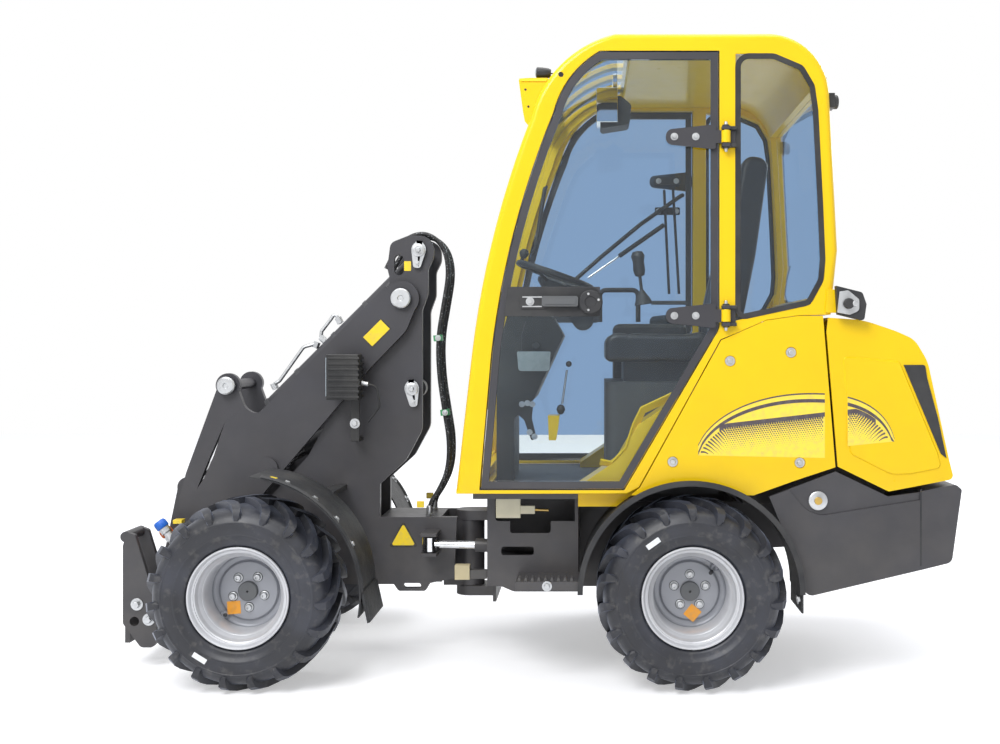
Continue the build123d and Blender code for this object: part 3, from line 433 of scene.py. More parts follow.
bpy.context.scene.view_settings.view_transform = "Standard"
make_camera()
make_world()
make_floor()
make_lamp("key", (-2.5, -5.0, 6.0), (0, 0, 0.8), (3.5, 3.5), 420)
make_lamp("top", (0.5, 0.5, 6.5), (0, 0, 0.5), (5, 4), 180)
make_lamp("back", (4.5, 4.5, 4.0), (0, 0, 0.8), (3, 3), 160)

# Shapes for the finer pieces
NEAR = (0, -1, 0)
UP = (0, 0, 1)
AFT = (1, 0, 0)
ACROSS = (0, 1, 0)
SIDES = ((-1, "near"), (1, "far"))
ARC_STEPS = 6


def frame_at(place, out=NEAR, up=UP):
    """Local frame at a place: z points out, y leans up."""
    z = Vector(out).normalized()
    x = Vector(up).cross(z).normalized()
    made = Matrix((x, z.cross(x), z)).transposed().to_4x4()
    made.translation = place
    return made


def rolled(degrees):
    """Turn about a frame's own z."""
    return Matrix.Rotation(math.radians(degrees), 4, "Z")


def rounded(points, closed=True):
    """Polygon corners with arcs where a corner has a radius after its two or three numbers."""
    size = 3 if len(points[0]) > 3 or not closed else 2
    made = []
    count = len(points)
    for index, point in enumerate(points):
        here = Vector((*point[:size], 0)[:3])
        inner = closed or 0 < index < count - 1
        if len(point) <= size or not inner:
            made.append(here)
            continue
        before = Vector((*points[index - 1][:size], 0)[:3]) - here
        after = Vector((*points[(index + 1) % count][:size], 0)[:3]) - here
        half = before.angle(after) / 2
        reach = point[size] / math.tan(half)
        start = here + before.normalized() * reach
        end = here + after.normalized() * reach
        centre = here + (before.normalized() + after.normalized()).normalized() * point[size] / math.sin(half)
        for step in range(ARC_STEPS + 1):
            ray = (start - centre).slerp(end - centre, step / ARC_STEPS)
            made.append(centre + ray.normalized() * point[size])
    return made


def ring_of(radius, steps=24, start=0.0):
    """Points round a circle."""
    turns = [start + math.tau * k / steps for k in range(steps)]
    return [(radius * math.cos(a), radius * math.sin(a)) for a in turns]


def polar(radius, degrees, height):
    """Place round a frame's axis."""
    angle = math.radians(degrees)
    return Vector((radius * math.cos(angle), radius * math.sin(angle), height))


def rectangle(left, low, right, high, corner=0):
    """Outline whose four corners have the same radius."""
    places = ((left, low), (right, low), (right, high), (left, high))
    return [(x, z, corner) if corner else (x, z) for x, z in places]


def plate(half_width, half_height, corner=0):
    """Rectangle about its middle."""
    return rectangle(-half_width, -half_height, half_width, half_height, corner)


def span(side, first, last):
    """Lower and higher y of a stretch on one side of the machine."""
    return sorted((side * first, side * last))


class Piece:
    """A mesh put together from turned, flat, boxed and bent shapes, placed in millimetres."""

    def __init__(self, name, body, *finishes):
        self.name = name
        self.body = body
        self.finishes = finishes
        self.mesh = bmesh.new()
        self.index = 0

    def use(self, finish):
        """Finish of the shapes that follow."""
        self.index = self.finishes.index(finish)
        return self

    def vert(self, place):
        return self.mesh.verts.new(Vector(place) * 0.001)

    def face(self, verts):
        made = self.mesh.faces.new(verts)
        made.material_index = self.index

    def skin(self, rings, ends=True):
        """Faces between rings of like length, with flat ends."""
        rows = [[self.vert(p) for p in ring] for ring in rings]
        count = len(rows[0])
        for low, high in zip(rows, rows[1:]):
            for k in range(count):
                after = (k + 1) % count
                self.face((low[k], low[after], high[after], high[k]))
        if ends:
            self.face(list(reversed(rows[0])))
            self.face(rows[-1])
        return self

    def turned(self, profile, frame, steps=32):
        """Profile of (radius, height) turned round the frame's z; a radius of 0 closes it."""
        rows = []
        for radius, height in profile:
            if radius <= 0:
                rows.append([self.vert(frame @ Vector((0, 0, height)))])
            else:
                rows.append([self.vert(frame @ Vector((x, y, height))) for x, y in ring_of(radius, steps)])
        for low, high in zip(rows, rows[1:]):
            for k in range(steps):
                after = (k + 1) % steps
                corners = ((low, k), (low, after), (high, after), (high, k))
                face = list(dict.fromkeys(row[index % len(row)] for row, index in corners))
                if len(face) > 2:
                    self.face(face)
        return self

    def slab(self, points, frame, thickness, base=0.0):
        """Flat outline in the frame's x and y, drawn out along its z."""
        flat = rounded(points)
        low = [frame @ Vector((p.x, p.y, base)) for p in flat]
        high = [frame @ Vector((p.x, p.y, base + thickness)) for p in flat]
        return self.skin([low, high])

    def side(self, points, y, thickness):
        """Flat outline in X and Z, from y towards the near side (or the far one if negative)."""
        flat = rounded(points)
        ring = [Vector((p.x, y, p.y)) for p in flat]
        other = [Vector((p.x, y - thickness, p.y)) for p in flat]
        return self.skin([ring, other])

    def block(self, low, high):
        """Box between two corners."""
        return self.side(rectangle(low[0], low[2], high[0], high[2]), high[1], high[1] - low[1])

    def disc(self, radius, height, frame, steps=24):
        """Plain round disc on the frame's face."""
        return self.turned([(0, 0), (radius, 0), (radius, height), (0, height)], frame, steps)

    def cap(self, radius, height, edge, frame, steps=24):
        """Round disc with a bevelled rim on top."""
        profile = [(0, 0), (radius, 0), (radius, height), (radius - edge, height + edge), (0, height + edge)]
        return self.turned(profile, frame, steps)

    def tube(self, points, radius, steps=10):
        """Round bar along a path whose inner corners may have a radius as a fourth number."""
        return self.bar(rounded(points, closed=False), ring_of(radius, steps))

    def bar(self, path, section):
        """Section carried along a path without twisting."""
        rings = []
        normal = None
        for index, place in enumerate(path):
            before = path[max(index - 1, 0)]
            after = path[min(index + 1, len(path) - 1)]
            along = (Vector(after) - Vector(before)).normalized()
            if normal is None:
                normal = along.orthogonal().normalized()
            normal = (normal - along * normal.dot(along)).normalized()
            across = along.cross(normal)
            rings.append([Vector(place) + normal * x + across * y for x, y in section])
        return self.skin(rings)

    def bolt(self, place, out, size, washer=True, turn=0.0):
        """Bolt head of a size across its corners, on its washer."""
        frame = frame_at(place, out, (0.3, 0.2, 1))
        height = 0.0
        if washer:
            height = size * 0.14
            self.disc(size * 0.85, height, frame, 20)
        head = ring_of(size / 2, 6, turn)
        low = [frame @ Vector((x, y, height)) for x, y in head]
        mid = [frame @ Vector((x, y, height + size * 0.42)) for x, y in head]
        top = [frame @ Vector((x * 0.85, y * 0.85, height + size * 0.5)) for x, y in head]
        return self.skin([low, mid, top])

    def done(self, edge=0.0, smooth=35, replaces=(), segments=2):
        """Turns the shapes into an object that rides on its body."""
        bmesh.ops.recalc_face_normals(self.mesh, faces=self.mesh.faces)
        data = bpy.data.meshes.new(self.name)
        self.mesh.to_mesh(data)
        self.mesh.free()
        for finish in self.finishes:
            data.materials.append(looks[finish].material)
        obj = placed(self.name, data)
        data.shade_smooth()
        data.set_sharp_from_angle(angle=math.radians(smooth))
        if edge:
            add_bevel(obj, edge, segments, "ANGLE", smooth)
        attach(obj, self.body)
        if replaces:
            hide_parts(*replaces)
        return obj


# Wheels: tyres with lugs, and dished rims with their bolts, valve and blank labels
tyre_half = [
    (153, 112), (166, 122), (172.5, 125), (174, 131), (178, 136), (184, 138.5), (191, 139.2),
    (197, 143), (205, 147.2), (207, 148.8), (211, 149.4), (213, 148.6), (222, 150.6), (236, 151.5),
    (247, 150.4), (249, 151.6), (253, 151.2), (255, 149.2), (263, 145.5), (272, 139.5), (281, 130),
    (288, 116), (293, 95), (295.5, 60), (296.5, 30), (297, 0),
]
# Lug stations: height of top and foot along the axle, their radii, sideways run, half widths
lug_stations = [
    (-5, 318, -5, 288, 0, 15, 20),
    (30, 318, 30, 288, 26, 15, 20),
    (65, 317.5, 65, 287, 52, 15, 20),
    (98, 315, 95, 282, 76, 15, 20),
    (126, 307, 118, 272, 92, 14.5, 19),
    (144, 295, 132, 264, 98, 13.5, 18),
    (151.5, 277, 140, 256, 99, 11.5, 16),
    (151.8, 262, 145, 249, 97, 6, 9),
]
lug_arc_radius = 300
lug_count = 19
rim_profile = [
    (162.5, -137), (166, -138), (169.5, -136), (169.5, -128), (152, -122), (151, -100), (132, -86),
    (132, 86), (151, 100), (152, 122), (169.5, 128), (169.5, 136), (167.5, 138), (164, 137.4),
    (161, 134), (158.5, 127), (155, 121), (148, 117), (145.5, 112), (144.5, 103), (141, 97),
    (131, 84), (127, 70), (125, 45), (123.5, 12),
]
disc_profile = [(123.5, 14), (121.5, 5), (117, 1), (109, 0), (104, 1), (97, 8.5), (90, 10), (0, 10)]
hub_cap = [(33, 9), (33, 22), (31, 25), (4, 26), (3.5, 18), (0, 18)]
wheel_bolt = [(15, 0), (15, 2.5), (11.5, 4), (10.5, 12), (9, 13.5), (6, 13.5), (5.5, 8), (0, 8)]
bolt_circle = 56
front_wheel_x, rear_wheel_x = -955, 545
# Each wheel's x and side, turns of its bolts, label, valve and tag, and the label's tilt
wheels = {
    "front_left": (front_wheel_x, -1, 56, 229, 225, 238, 4),
    "front_right": (front_wheel_x, 1, 20, 120, 300, 60, 12),
    "rear_left": (rear_wheel_x, -1, 90, 277, 43, 125.5, 50),
    "rear_right": (rear_wheel_x, 1, 40, 200, 160, 290, 30),
}
tyre_y, axle_z = 492, 318
tyre_side = 151.6


def tyre(place, hub):
    """Tyre with two rows of curved lugs that meet in a chevron."""
    piece = Piece("tyre_rubber_" + place, "wheel_" + place, "tyre", "label_white")
    profile = tyre_half + [(r, -h) for r, h in reversed(tyre_half[:-1])]
    piece.turned(profile + profile[:1], hub, 96)
    for turn in range(2 * lug_count):
        flip = 1 if turn % 2 == 0 else -1
        start = 90 + turn * 180 / lug_count
        rings = []
        for top_h, top_r, foot_h, foot_r, run, top_half, foot_half in lug_stations:
            ring = []
            for radius, height, across in (
                (foot_r, foot_h, -foot_half),
                (top_r, top_h, -top_half),
                (top_r, top_h, top_half),
                (foot_r, foot_h, foot_half),
            ):
                degrees = start - math.degrees((run + across) / lug_arc_radius)
                ring.append(hub @ polar(radius, degrees, flip * height))
            rings.append(ring)
        piece.skin(rings)
    return piece


def rim(place, hub, bolt_turn, label_turn, valve_turn, label_tilt):
    """Dished rim with its disc, hub cap, five bolts, blank label and valve."""
    finishes = ("rim", "disc", "zinc", "hub_grey", "label_orange", "black_plastic")
    piece = Piece("rim_steel_" + place, "wheel_" + place, *finishes)
    piece.turned(rim_profile, hub, 96)
    piece.use("disc").turned(disc_profile + [(0, -6), (123.5, -6), (123.5, 14)], hub, 72)
    piece.use("hub_grey").turned(hub_cap, hub, 48)
    outward = (hub @ Vector((0, 0, 1))) - hub.translation
    for turn in range(5):
        seat = hub @ polar(bolt_circle, bolt_turn + 72 * turn, 10)
        piece.use("black_plastic").turned([(17, -0.5), (17, 0.4), (0, 0.4)], frame_at(seat, outward), 24)
        piece.use("zinc").turned(wheel_bolt, frame_at(seat, outward), 24)
    flat = frame_at(hub @ polar(76, label_turn, 10.4), outward) @ rolled(label_tilt)
    piece.use("label_orange").slab(plate(23, 22, 3), flat, 0.5)
    stem = [hub @ polar(118, valve_turn, 4), hub @ polar(112, valve_turn, 26)]
    stem.append(hub @ polar(102, valve_turn + 2, 46))
    piece.use("disc").turned([(15, 0), (15, 5), (10, 11), (0, 11)], frame_at(stem[0], outward), 20)
    piece.use("zinc").bar(stem, ring_of(5, 12))
    piece.use("black_plastic").bar([stem[2], stem[2] + (stem[2] - stem[1]) * 0.7], ring_of(6.5, 12))
    return piece


for place, (wheel_x, side, bolts, label, valve, tag, tilt) in wheels.items():
    hub = Matrix(((1, 0, 0), (0, 0, 1), (0, side, 0))).transposed().to_4x4()
    hub.translation = (wheel_x, side * tyre_y, axle_z)
    body = tyre(place, hub)
    seat = hub @ polar(226, tag, tyre_side)
    lean = (hub @ polar(300, tag, tyre_side)) - seat
    body.use("label_white").slab(plate(25, 9, 2), frame_at(seat, (0, side, 0), lean), 0.6)
    body.done(0.0015, 32, ("tyre_" + place,))
    rim(place, hub, bolts, label, valve, tilt).done(0.0008, 30, ("rim_" + place,))

# Cab outside: rounded shell and window seals
cab_y = 525
hinge_heights = (1252, 1855)
hinge_x, hinge_y = 664, 541
latch_face_y = 531
quarter_window = [
    (699, 1236, 30), (699, 2138, 45), (829, 2138, 60), (926, 2097, 40), (964, 2032, 40),
    (976, 1948), (992, 1638), (1000, 1442, 30), (994, 1371, 60), (950, 1290, 40),
]


def fresh_copy(name, node_name, finish):
    """Copy of a rear body node's mesh with its facets welded, to be reshaped and to stand for the node."""
    mesh = bmesh.new()
    mesh.from_mesh(nodes[node_name].data)
    bmesh.ops.remove_doubles(mesh, verts=mesh.verts, dist=0.00001)
    data = bpy.data.meshes.new(name)
    mesh.to_mesh(data)
    mesh.free()
    drop_normals(data)
    data.materials.clear()
    data.materials.append(looks[finish].material)
    obj = placed(name, data)
    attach(obj, "rear_body")
    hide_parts(node_name)
    return obj


def weighted_edges(obj, width, weight_of):
    """Rounds sharp edges, each by its own share of the width."""
    mesh = bmesh.new()
    mesh.from_mesh(obj.data)
    layer = mesh.edges.layers.float.new("bevel_weight_edge")
    for edge in mesh.edges:
        if len(edge.link_faces) == 2 and edge.calc_face_angle() > math.radians(28):
            middle = (edge.verts[0].co + edge.verts[1].co) * 500
            edge[layer] = weight_of(middle)
    mesh.to_mesh(obj.data)
    mesh.free()
    obj.data.shade_smooth()
    add_bevel(obj, width, 4, "WEIGHT").use_clamp_overlap = False


cab_skin = [
    (-249, 650), (-195, 1125), (-128, 1503), (3, 1922), (46, 2030), (110, 2110), (190, 2172),
    (290, 2210), (820, 2210), (895, 2192), (955, 2150), (998, 2087), (1018, 2010), (1045, 1475),
    (1022, 1256),
]


def cab_distance(x, z):
    """Distance of a side view point from the cab's outer line."""
    best = 1e9
    for (ax, az), (bx, bz) in zip(cab_skin, cab_skin[1:]):
        run = Vector((bx - ax, bz - az))
        share = max(0.0, min(1.0, Vector((x - ax, z - az)).dot(run) / run.length_squared))
        best = min(best, (Vector((x - ax, z - az)) - run * share).length)
    return best


def outer_edge_share(middle):
    """Full rounding along the cab's outer side edges, a fine edge elsewhere."""
    if abs(middle.y) > cab_y - 0.5 and cab_distance(middle.x, middle.z) < 16:
        return 1.0
    return 0.12


cab_shell = fresh_copy("cab_shell", "cab_frame", "yellow")
weighted_edges(cab_shell, 0.022, outer_edge_share)


def ring_seal(piece, outline_points, y, width, thickness, grow=2.0):
    """Flat rubber frame that follows a closed side view outline, inwards from it."""
    flat = rounded(outline_points)
    count = len(flat)
    rings = []
    for index, here in enumerate(flat):
        before = flat[index - 1]
        after = flat[(index + 1) % count]
        along = (after - before).normalized()
        inward = Vector((along.y, -along.x, 0))
        out = here - inward * grow
        inn = here + inward * width
        corners = ((out, y), (inn, y), (inn, y + thickness), (out, y + thickness))
        rings.append([Vector((point.x, level, point.y)) for point, level in corners])
    return piece.skin(rings + rings[:1], ends=False)


for side, side_name in SIDES:
    seal = Piece("quarter_seal_" + side_name, "rear_body", "seal")
    ring_seal(seal, quarter_window, side * (cab_y - 2), 17, side * 4)
    ring_seal(seal, quarter_window, side * (cab_y - 10), 9, side * 8)
    seal.done(0.0015, 50)

# Thin weather strip between each door and the cab
door_line = [
    (-172, 662, 12), (-131, 1125, 200), (-52, 1545, 300), (80, 1940, 200), (134, 2056, 120),
    (240, 2151, 120), (646, 2151, 10), (646, 1214, 10), (638, 1193, 10), (324, 660, 20),
]
for side, side_name in SIDES:
    strip = Piece("door_strip_" + side_name, "rear_body", "seal")
    ring_seal(strip, door_line, side * (cab_y - 16), 4, side * 14, 1.0)
    strip.done(0.0008, 60)

# Door fittings: hinge bolts, latch with its bar handle, and the round lock
for side, side_name in ((-1, "left"), (1, "right")):
    out = (0, side, 0)
    body = "door_" + side_name + "_body"
    bolts = Piece("door_bolts_" + side_name, body, "zinc", "seal")
    for height in hinge_heights:
        for bolt_x in (490, 562):
            seat = Vector((bolt_x, side * hinge_y, height))
            bolts.use("seal").disc(13, 0.8, frame_at(seat, out))
            bolts.use("zinc").bolt(seat, out, 15)
    bolts.done(0.0006)
    knuckles = Piece("hinge_caps_" + side_name, "rear_body", "black_plastic", "zinc", "yellow")
    for height in hinge_heights:
        sleeve = frame_at((hinge_x, side * hinge_y, height), UP, AFT)
        knuckles.use("yellow").turned([(14, -21), (15.6, -20), (15.6, 20), (14, 21)], sleeve, 24)
        for level, way in ((36, 1), (-36, -1)):
            top = frame_at((hinge_x, side * hinge_y, height + level), (0, 0, way), AFT)
            knuckles.use("black_plastic").turned([(12, 0), (12, 4), (0, 4)], top, 20)
            knuckles.use("zinc").turned([(6, 4), (5.5, 13), (3, 16), (0, 16)], top, 16)
        low_y, high_y = span(side, cab_y + 1, 545)
        for level in (height - 29, height + 29):
            knuckles.use("black_plastic").block((650, low_y, level - 6), (700, high_y, level + 6))
    knuckles.done(0.002)
    latch = Piece("door_latch_" + side_name, body, "black_plastic", "zinc", "hub_grey")
    face = side * latch_face_y

    def put(points, base, thick):
        """Latch shape standing out from the latch plate."""
        latch.side(points, face + side * (base + (thick if side > 0 else 0)), thick)

    put([(-84, 1250), (-73, 1348), (226, 1348, 14), (238, 1330), (238, 1250)], -5, 6)
    put(rectangle(-30, 1276, 60, 1322, 6), 0, 6)
    latch.use("zinc")
    for z in (1283, 1315):
        put(rectangle(-22, z - 2, 44, z + 2), 6, 2)
    latch.bolt((4, face + side * 6, 1300), out, 17)
    latch.use("hub_grey")
    put(rectangle(44, 1283, 166, 1318, 8), 5, 16)
    put(rectangle(52, 1290, 158, 1311, 5), 21, 3)
    latch.use("black_plastic")
    lock = frame_at((208, face, 1298), out)
    latch.turned([(0, 0), (40, 0), (41, 4), (41, 14), (37, 18), (20, 19), (18, 16), (0, 16)], lock, 40)
    inner = frame_at((176, face - side * 26, 1262), out)
    latch.turned([(0, -14), (44, -14), (46, -8), (46, 0), (0, 0)], inner, 40)
    latch.use("zinc")
    for degrees in (105, 15, 255):
        spot = lock @ polar(28, degrees, 18)
        latch.bolt(spot, out, 9, washer=False)
    latch.done(0.0012)

# Lamp brackets on the front pillars, with a small lamp above each
bracket_outline = [
    (-37, 2056), (-33, 2062), (0, 2064), (62, 2064), (74, 2045), (20, 1900), (4, 1893),
    (-16, 1915, 8), (-22, 1945, 10),
]
for side, side_name in SIDES:
    bracket = Piece("lamp_bracket_" + side_name, "rear_body", "yellow", "seal", "lamp", "clear_plastic")
    bracket.side(bracket_outline, side * 492 + 2, 4)
    top = [(-36, 494), (62, 494), (52, 440), (20, 415), (-16, 430)]
    upper = [Vector((x, side * y, 2062)) for x, y in top]
    lower = [Vector((x * 0.9 + 2, side * (y + 4), 2052)) for x, y in top]
    bracket.skin([lower, upper])
    wedge = ((66, 494, 2050), (-30, 494, 2050), (30, 492, 1960))
    wedge_in = ((50, 440, 2052), (-12, 440, 2052), (44, 486, 1968))
    bracket.skin([[Vector((x, side * y, z)) for x, y, z in ring] for ring in (wedge, wedge_in)])
    out = (0, side, 0)
    bracket.use("seal")
    for x, z in ((-14, 2024), (-4, 1966)):
        bracket.disc(4, 0.6, frame_at((x, side * 494.5, z), out), 16)
    bracket.use("lamp")
    head = frame_at((48, side * 470, 2086), (-0.92, 0, 0.05))
    bracket.turned([(0, -24), (13, -24), (17, -14), (18.5, 6), (18.5, 24), (16, 26)], head, 24)
    low_y, high_y = span(side, 462, 478)
    bracket.block((38, low_y, 2062), (54, high_y, 2076))
    bracket.use("clear_plastic").turned([(16.5, 25), (11, 29), (0, 31)], head, 24)
    bracket.use("seal")
    bracket.tube([(68, side * 478, 2082), (96, side * 500, 2078, 12), (106, side * 512, 2074)], 2.2, 8)
    bracket.turned([(0, 0), (13, 0), (13, 3), (9, 6), (0, 6)], frame_at((108, side * 519, 2068), out), 24)
    bracket.done(0.001, 35, ("roof_lamps",) if side < 0 else ())

# Rear of the cab: work lamp, marker, and a bracket of three layers beside the hood
stub_outline = [(1006, 1344), (1046, 1338), (1036, 1262), (1000, 1262)]
box_outline = [(1030, 1352), (1118, 1330, 14), (1132, 1290), (1124, 1234, 10), (1036, 1256)]
cover_outline = [(1040, 1332), (1070, 1336, 10), (1106, 1306, 12)]
cover_outline += [(1106, 1268, 16), (1074, 1254, 12), (1032, 1262)]
bracket_layers = (
    ("yellow", stub_outline, 522, 14),
    ("black_plastic", box_outline, 535, 31),
    ("zinc", cover_outline, 566, 6),
)
rear_kit = Piece("cab_rear_fittings", "rear_body", "lamp", "zinc", "black_plastic", "yellow")
for side in (-1, 1):
    rear_kit.use("lamp")
    low_y, high_y = span(side, 440, 500)
    rear_kit.block((1014, low_y, 1962), (1040, high_y, 2012))
    rear_kit.cap(24, 12, 4, frame_at((1040, side * 470, 1986), AFT))
    rear_kit.turned([(0, 0), (9, 0), (9, 10), (0, 14)], frame_at((1006, side * 470, 2064), AFT), 16)
    # Bracket with its knob, outboard of the hood so that the hood can rise past it
    for finish, outline_points, inner_y, thick in bracket_layers:
        rear_kit.use(finish).side(outline_points, span(side, inner_y, inner_y + thick)[1], thick)
    out = (0, side, 0)
    knob = frame_at((1070, side * 572, 1292), out)
    rear_kit.use("black_plastic").cap(18, 10, 3, knob)
    knob = frame_at((1090, side * 572, 1292), out)
    rear_kit.use("zinc").cap(10, 12, 2, knob, 20)
rear_kit.done(0.002)

# Inside the cab: seat, steering wheel, levers, pedals and rails


def soft_form(name, node_name, crown):
    """Plumped copy of a plain cushion block."""
    obj = fresh_copy(name, node_name, "vinyl")
    remesh = obj.modifiers.new("remesh", "REMESH")
    remesh.mode = "VOXEL"
    remesh.voxel_size = 0.005
    bpy.context.view_layer.objects.active = obj
    obj.select_set(True)
    bpy.ops.object.modifier_apply(modifier="remesh")
    obj.select_set(False)
    spots = [v.co.copy() for v in obj.data.vertices]
    low = Vector([min(p[k] for p in spots) for k in range(3)])
    high = Vector([max(p[k] for p in spots) for k in range(3)])
    crown(obj.data.vertices, low, high)
    smooth = obj.modifiers.new("smooth", "SMOOTH")
    smooth.factor = 0.5
    smooth.iterations = 6
    obj.data.shade_smooth()
    return obj


def cushion_crown(verts, low, high):
    """Bolsters at the sides, a stitched groove inside each, and piping round the top."""
    half = (high.y - low.y) / 2
    for vert in verts:
        across = abs(vert.co.y) / half
        top = max(0.0, (vert.co.z - low.z) / (high.z - low.z) - 0.45)
        if top > 0:
            dip = 0.030 * (1 - min(1.0, across / 0.62) ** 2) + 0.006
            groove = 0.010 * math.exp(-(((across - 0.64) / 0.035) ** 2))
            seam = 0.008 * math.exp(-(((vert.co.x - low.x - 0.085) / 0.007) ** 2))
            ribs = 0.003 * abs(math.sin(vert.co.x * 75)) if across < 0.6 else 0.0
            vert.co.z -= (dip + groove + seam - ribs) * min(1.0, top * 3)


def back_crown(verts, low, high):
    """Back rest: hollow between side bolsters, with a head section above a seam."""
    half = (high.y - low.y) / 2
    for vert in verts:
        across = abs(vert.co.y) / half
        depth = high.x - low.x
        front = max(0.0, 1 - (vert.co.x - low.x) / depth * 1.6)
        seam = 0.010 * math.exp(-(((vert.co.z - (low.z + 0.36)) / 0.010) ** 2))
        hollow = 0.028 * (1 - min(1.0, across / 0.6) ** 2)
        groove = 0.010 * math.exp(-(((across - 0.62) / 0.035) ** 2))
        vert.co.x += (hollow + groove + seam) * front
        vert.co.x = min(vert.co.x, high.x)


soft_form("seat_pad", "seat_cushion", cushion_crown)
soft_form("back_pad", "seat_back", back_crown)

wheel_low, wheel_high = Vector((-66, 0, 1468)), Vector((210, 0, 1372))
wheel_mid = (wheel_low + wheel_high) / 2
wheel_axis = Vector((96, 0, 276)).normalized()
steer = Piece("steering_wheel_form", "rear_body", "black_plastic")
rim_frame = frame_at(wheel_mid, wheel_axis, (1, 0, 0.3))
rim_path = [rim_frame @ Vector((x, y, 0)) for x, y in ring_of(146, 56)]
rings = []
for place in rim_path:
    ray = (place - wheel_mid).normalized()
    rings.append([place + ray * x + wheel_axis * y for x, y in ring_of(12, 12)])
steer.skin(rings + rings[:1], ends=False)
steer.turned([(0, -88), (24, -88), (34, -60), (58, -38), (60, -24), (40, -14), (0, -12)], rim_frame, 32)
for degrees in (90, 210, 330):
    inner = rim_frame @ polar(40, degrees, -26)
    outer = rim_frame @ polar(140, degrees, -2)
    middle = (inner + outer) / 2 - wheel_axis * 4
    steer.bar([inner, middle, outer], plate(6, 13))
knob_frame = frame_at(rim_frame @ Vector((0, -140, 8)), wheel_axis, (1, 0, 0.3))
steer.turned([(7, 0), (7, 14), (12, 18), (18, 30), (18, 38), (12, 48), (0, 52)], knob_frame, 24)
steer.done(0.0, 40, ("steering_wheel",))

finishes = ("black_plastic", "zinc", "yellow", "clear_plastic", "grey_plastic")
controls = Piece("cab_controls", "rear_body", *finishes)
# Joystick on the side console, with its boot
controls.block((428, -300, 1300), (556, -232, 1312))
boot = frame_at((400, -264, 1300), (-0.15, 0, 1), AFT)
controls.turned([(34, 0), (30, 10), (27, 18), (20, 30), (13, 42), (8, 52)], boot, 24)
controls.tube([(392, -264, 1350), (386, -264, 1400)], 6)
grip = frame_at((386, -264, 1398), (-0.1, 0, 1), AFT)
controls.turned([(0, 0), (17, 6), (22, 26), (20, 56), (25, 76), (18, 92), (0, 96)], grip, 24)
# Lever with its ball below the dash, small knobs on it
controls.use("zinc").tube([(121, -190, 1062), (104, -196, 937)], 4)
ball = frame_at((99, -198, 918), UP, AFT)
controls.use("black_plastic")
controls.turned([(6, -18), (12, -12), (16, 0), (12, 12), (5, 17), (0, 18)], ball, 20)
controls.cap(16, 10, 4, frame_at((8, -172, 1152)))
controls.cap(11, 14, 3, frame_at((128, -172, 1084)), 20)
controls.use("clear_plastic").side([(-62, 1130, 5), (62, 1130, 5), (56, 1058, 12), (-56, 1058, 12)], -178, 22)
controls.use("grey_plastic").tube([(-30, -182, 1238), (-44, -186, 1190, 30), (-44, -186, 1110)], 2.5, 8)
# Pedal plates and their hanger
controls.use("yellow").side([(55, 900), (96, 900), (92, 858), (84, 812), (58, 812)], -200, 90)
controls.use("black_plastic")
hanger = [(-84, 926, 6), (-60, 960, 8), (0, 948, 6), (-6, 886, 4), (12, 812, 6), (-8, 806, 6), (-34, 880, 6)]
controls.side(hanger, -214, 8)
controls.use("zinc")
for x, z in ((-42, 938), (-22, 942), (-4, 938), (-14, 836), (4, 820)):
    controls.bolt((x, -222, z), NEAR, 13)
controls.done(0.001)

rails = Piece("cab_rails", "rear_body", "black_plastic", "zinc", "yellow")
# Inverted U guard beside the seat, and the far pillar's grab rail
rails.tube([(247, 300, 1248), (247, 300, 1379, 24), (403, 300, 1379, 24), (403, 300, 1248)], 10, 12)
grab_path = [(-36, 468, 1541), (-24, 452, 1560, 20), (-6, 448, 1680, 20)]
grab_path += [(15, 452, 1815, 20), (18, 470, 1826)]
rails.tube(grab_path, 9, 12)
# Rods and their two-bolt brackets on the far side
for x_top, x_low in ((521, 542), (559, 584)):
    rails.tube([(x_top, 478, 1813), (x_low, 478, 1371)], 6, 10)
for height in (1852, 1724):
    rails.side(rectangle(482, height - 16, 589, height + 16, 5), 492, 8)
    for x in (498, 573):
        rails.use("zinc").bolt((x, 484, height), NEAR, 14)
    rails.use("black_plastic")
# Yellow wheel arch edge that shows through the near door's glass
rails.use("yellow")
arc = [(240, 753), (285, 746), (336, 798), (363, 880), (387, 931), (497, 982)]
rails.bar([(x, -470, z) for x, z in arc], plate(4, 14))
rails.done(0.0015)

door_rail = Piece("door_rail_far", "door_right_body", "black_plastic")
rail_path = [(601, 486, 1792), (590, 472, 1786, 20), (419, 466, 1665, 60)]
rail_path += [(249, 466, 1524, 60), (142, 468, 1430, 24), (108, 480, 1400)]
door_rail.tube(rail_path, 9, 12)
door_rail.side(rectangle(80, 1372, 136, 1432, 6), 492, 8)
door_rail.done(0.001)
strut = Piece("door_strut_far", "door_right_body", "black_plastic", "chrome")
strut_low, strut_mid, strut_top = (197, 478, 1439), (330, 478, 1532), (521, 478, 1665)
strut.bar([strut_mid, strut_top], ring_of(10, 14))
strut.use("chrome").bar([strut_low, strut_mid], ring_of(4.5, 12))
strut.done(0.0008)

mirror_form = Piece("mirror_form", "rear_body", "black_plastic")
mirror_outline = [(244, 1971, 12), (248, 2032, 20), (313, 2105, 20)]
mirror_outline += [(363, 2063, 20), (356, 1990, 16), (260, 1975, 10)]
mirror_form.side(mirror_outline, 60, 120)
mirror_form.done(0.008, 35, segments=3)

# Front: pins with their lock plates, blank labels, hose clips and unions
tower_face, boom_face, lock_y = 125, 158, 135
hose_rows = (-84, -62, 62)
clip_y, clip_half = -73, 26


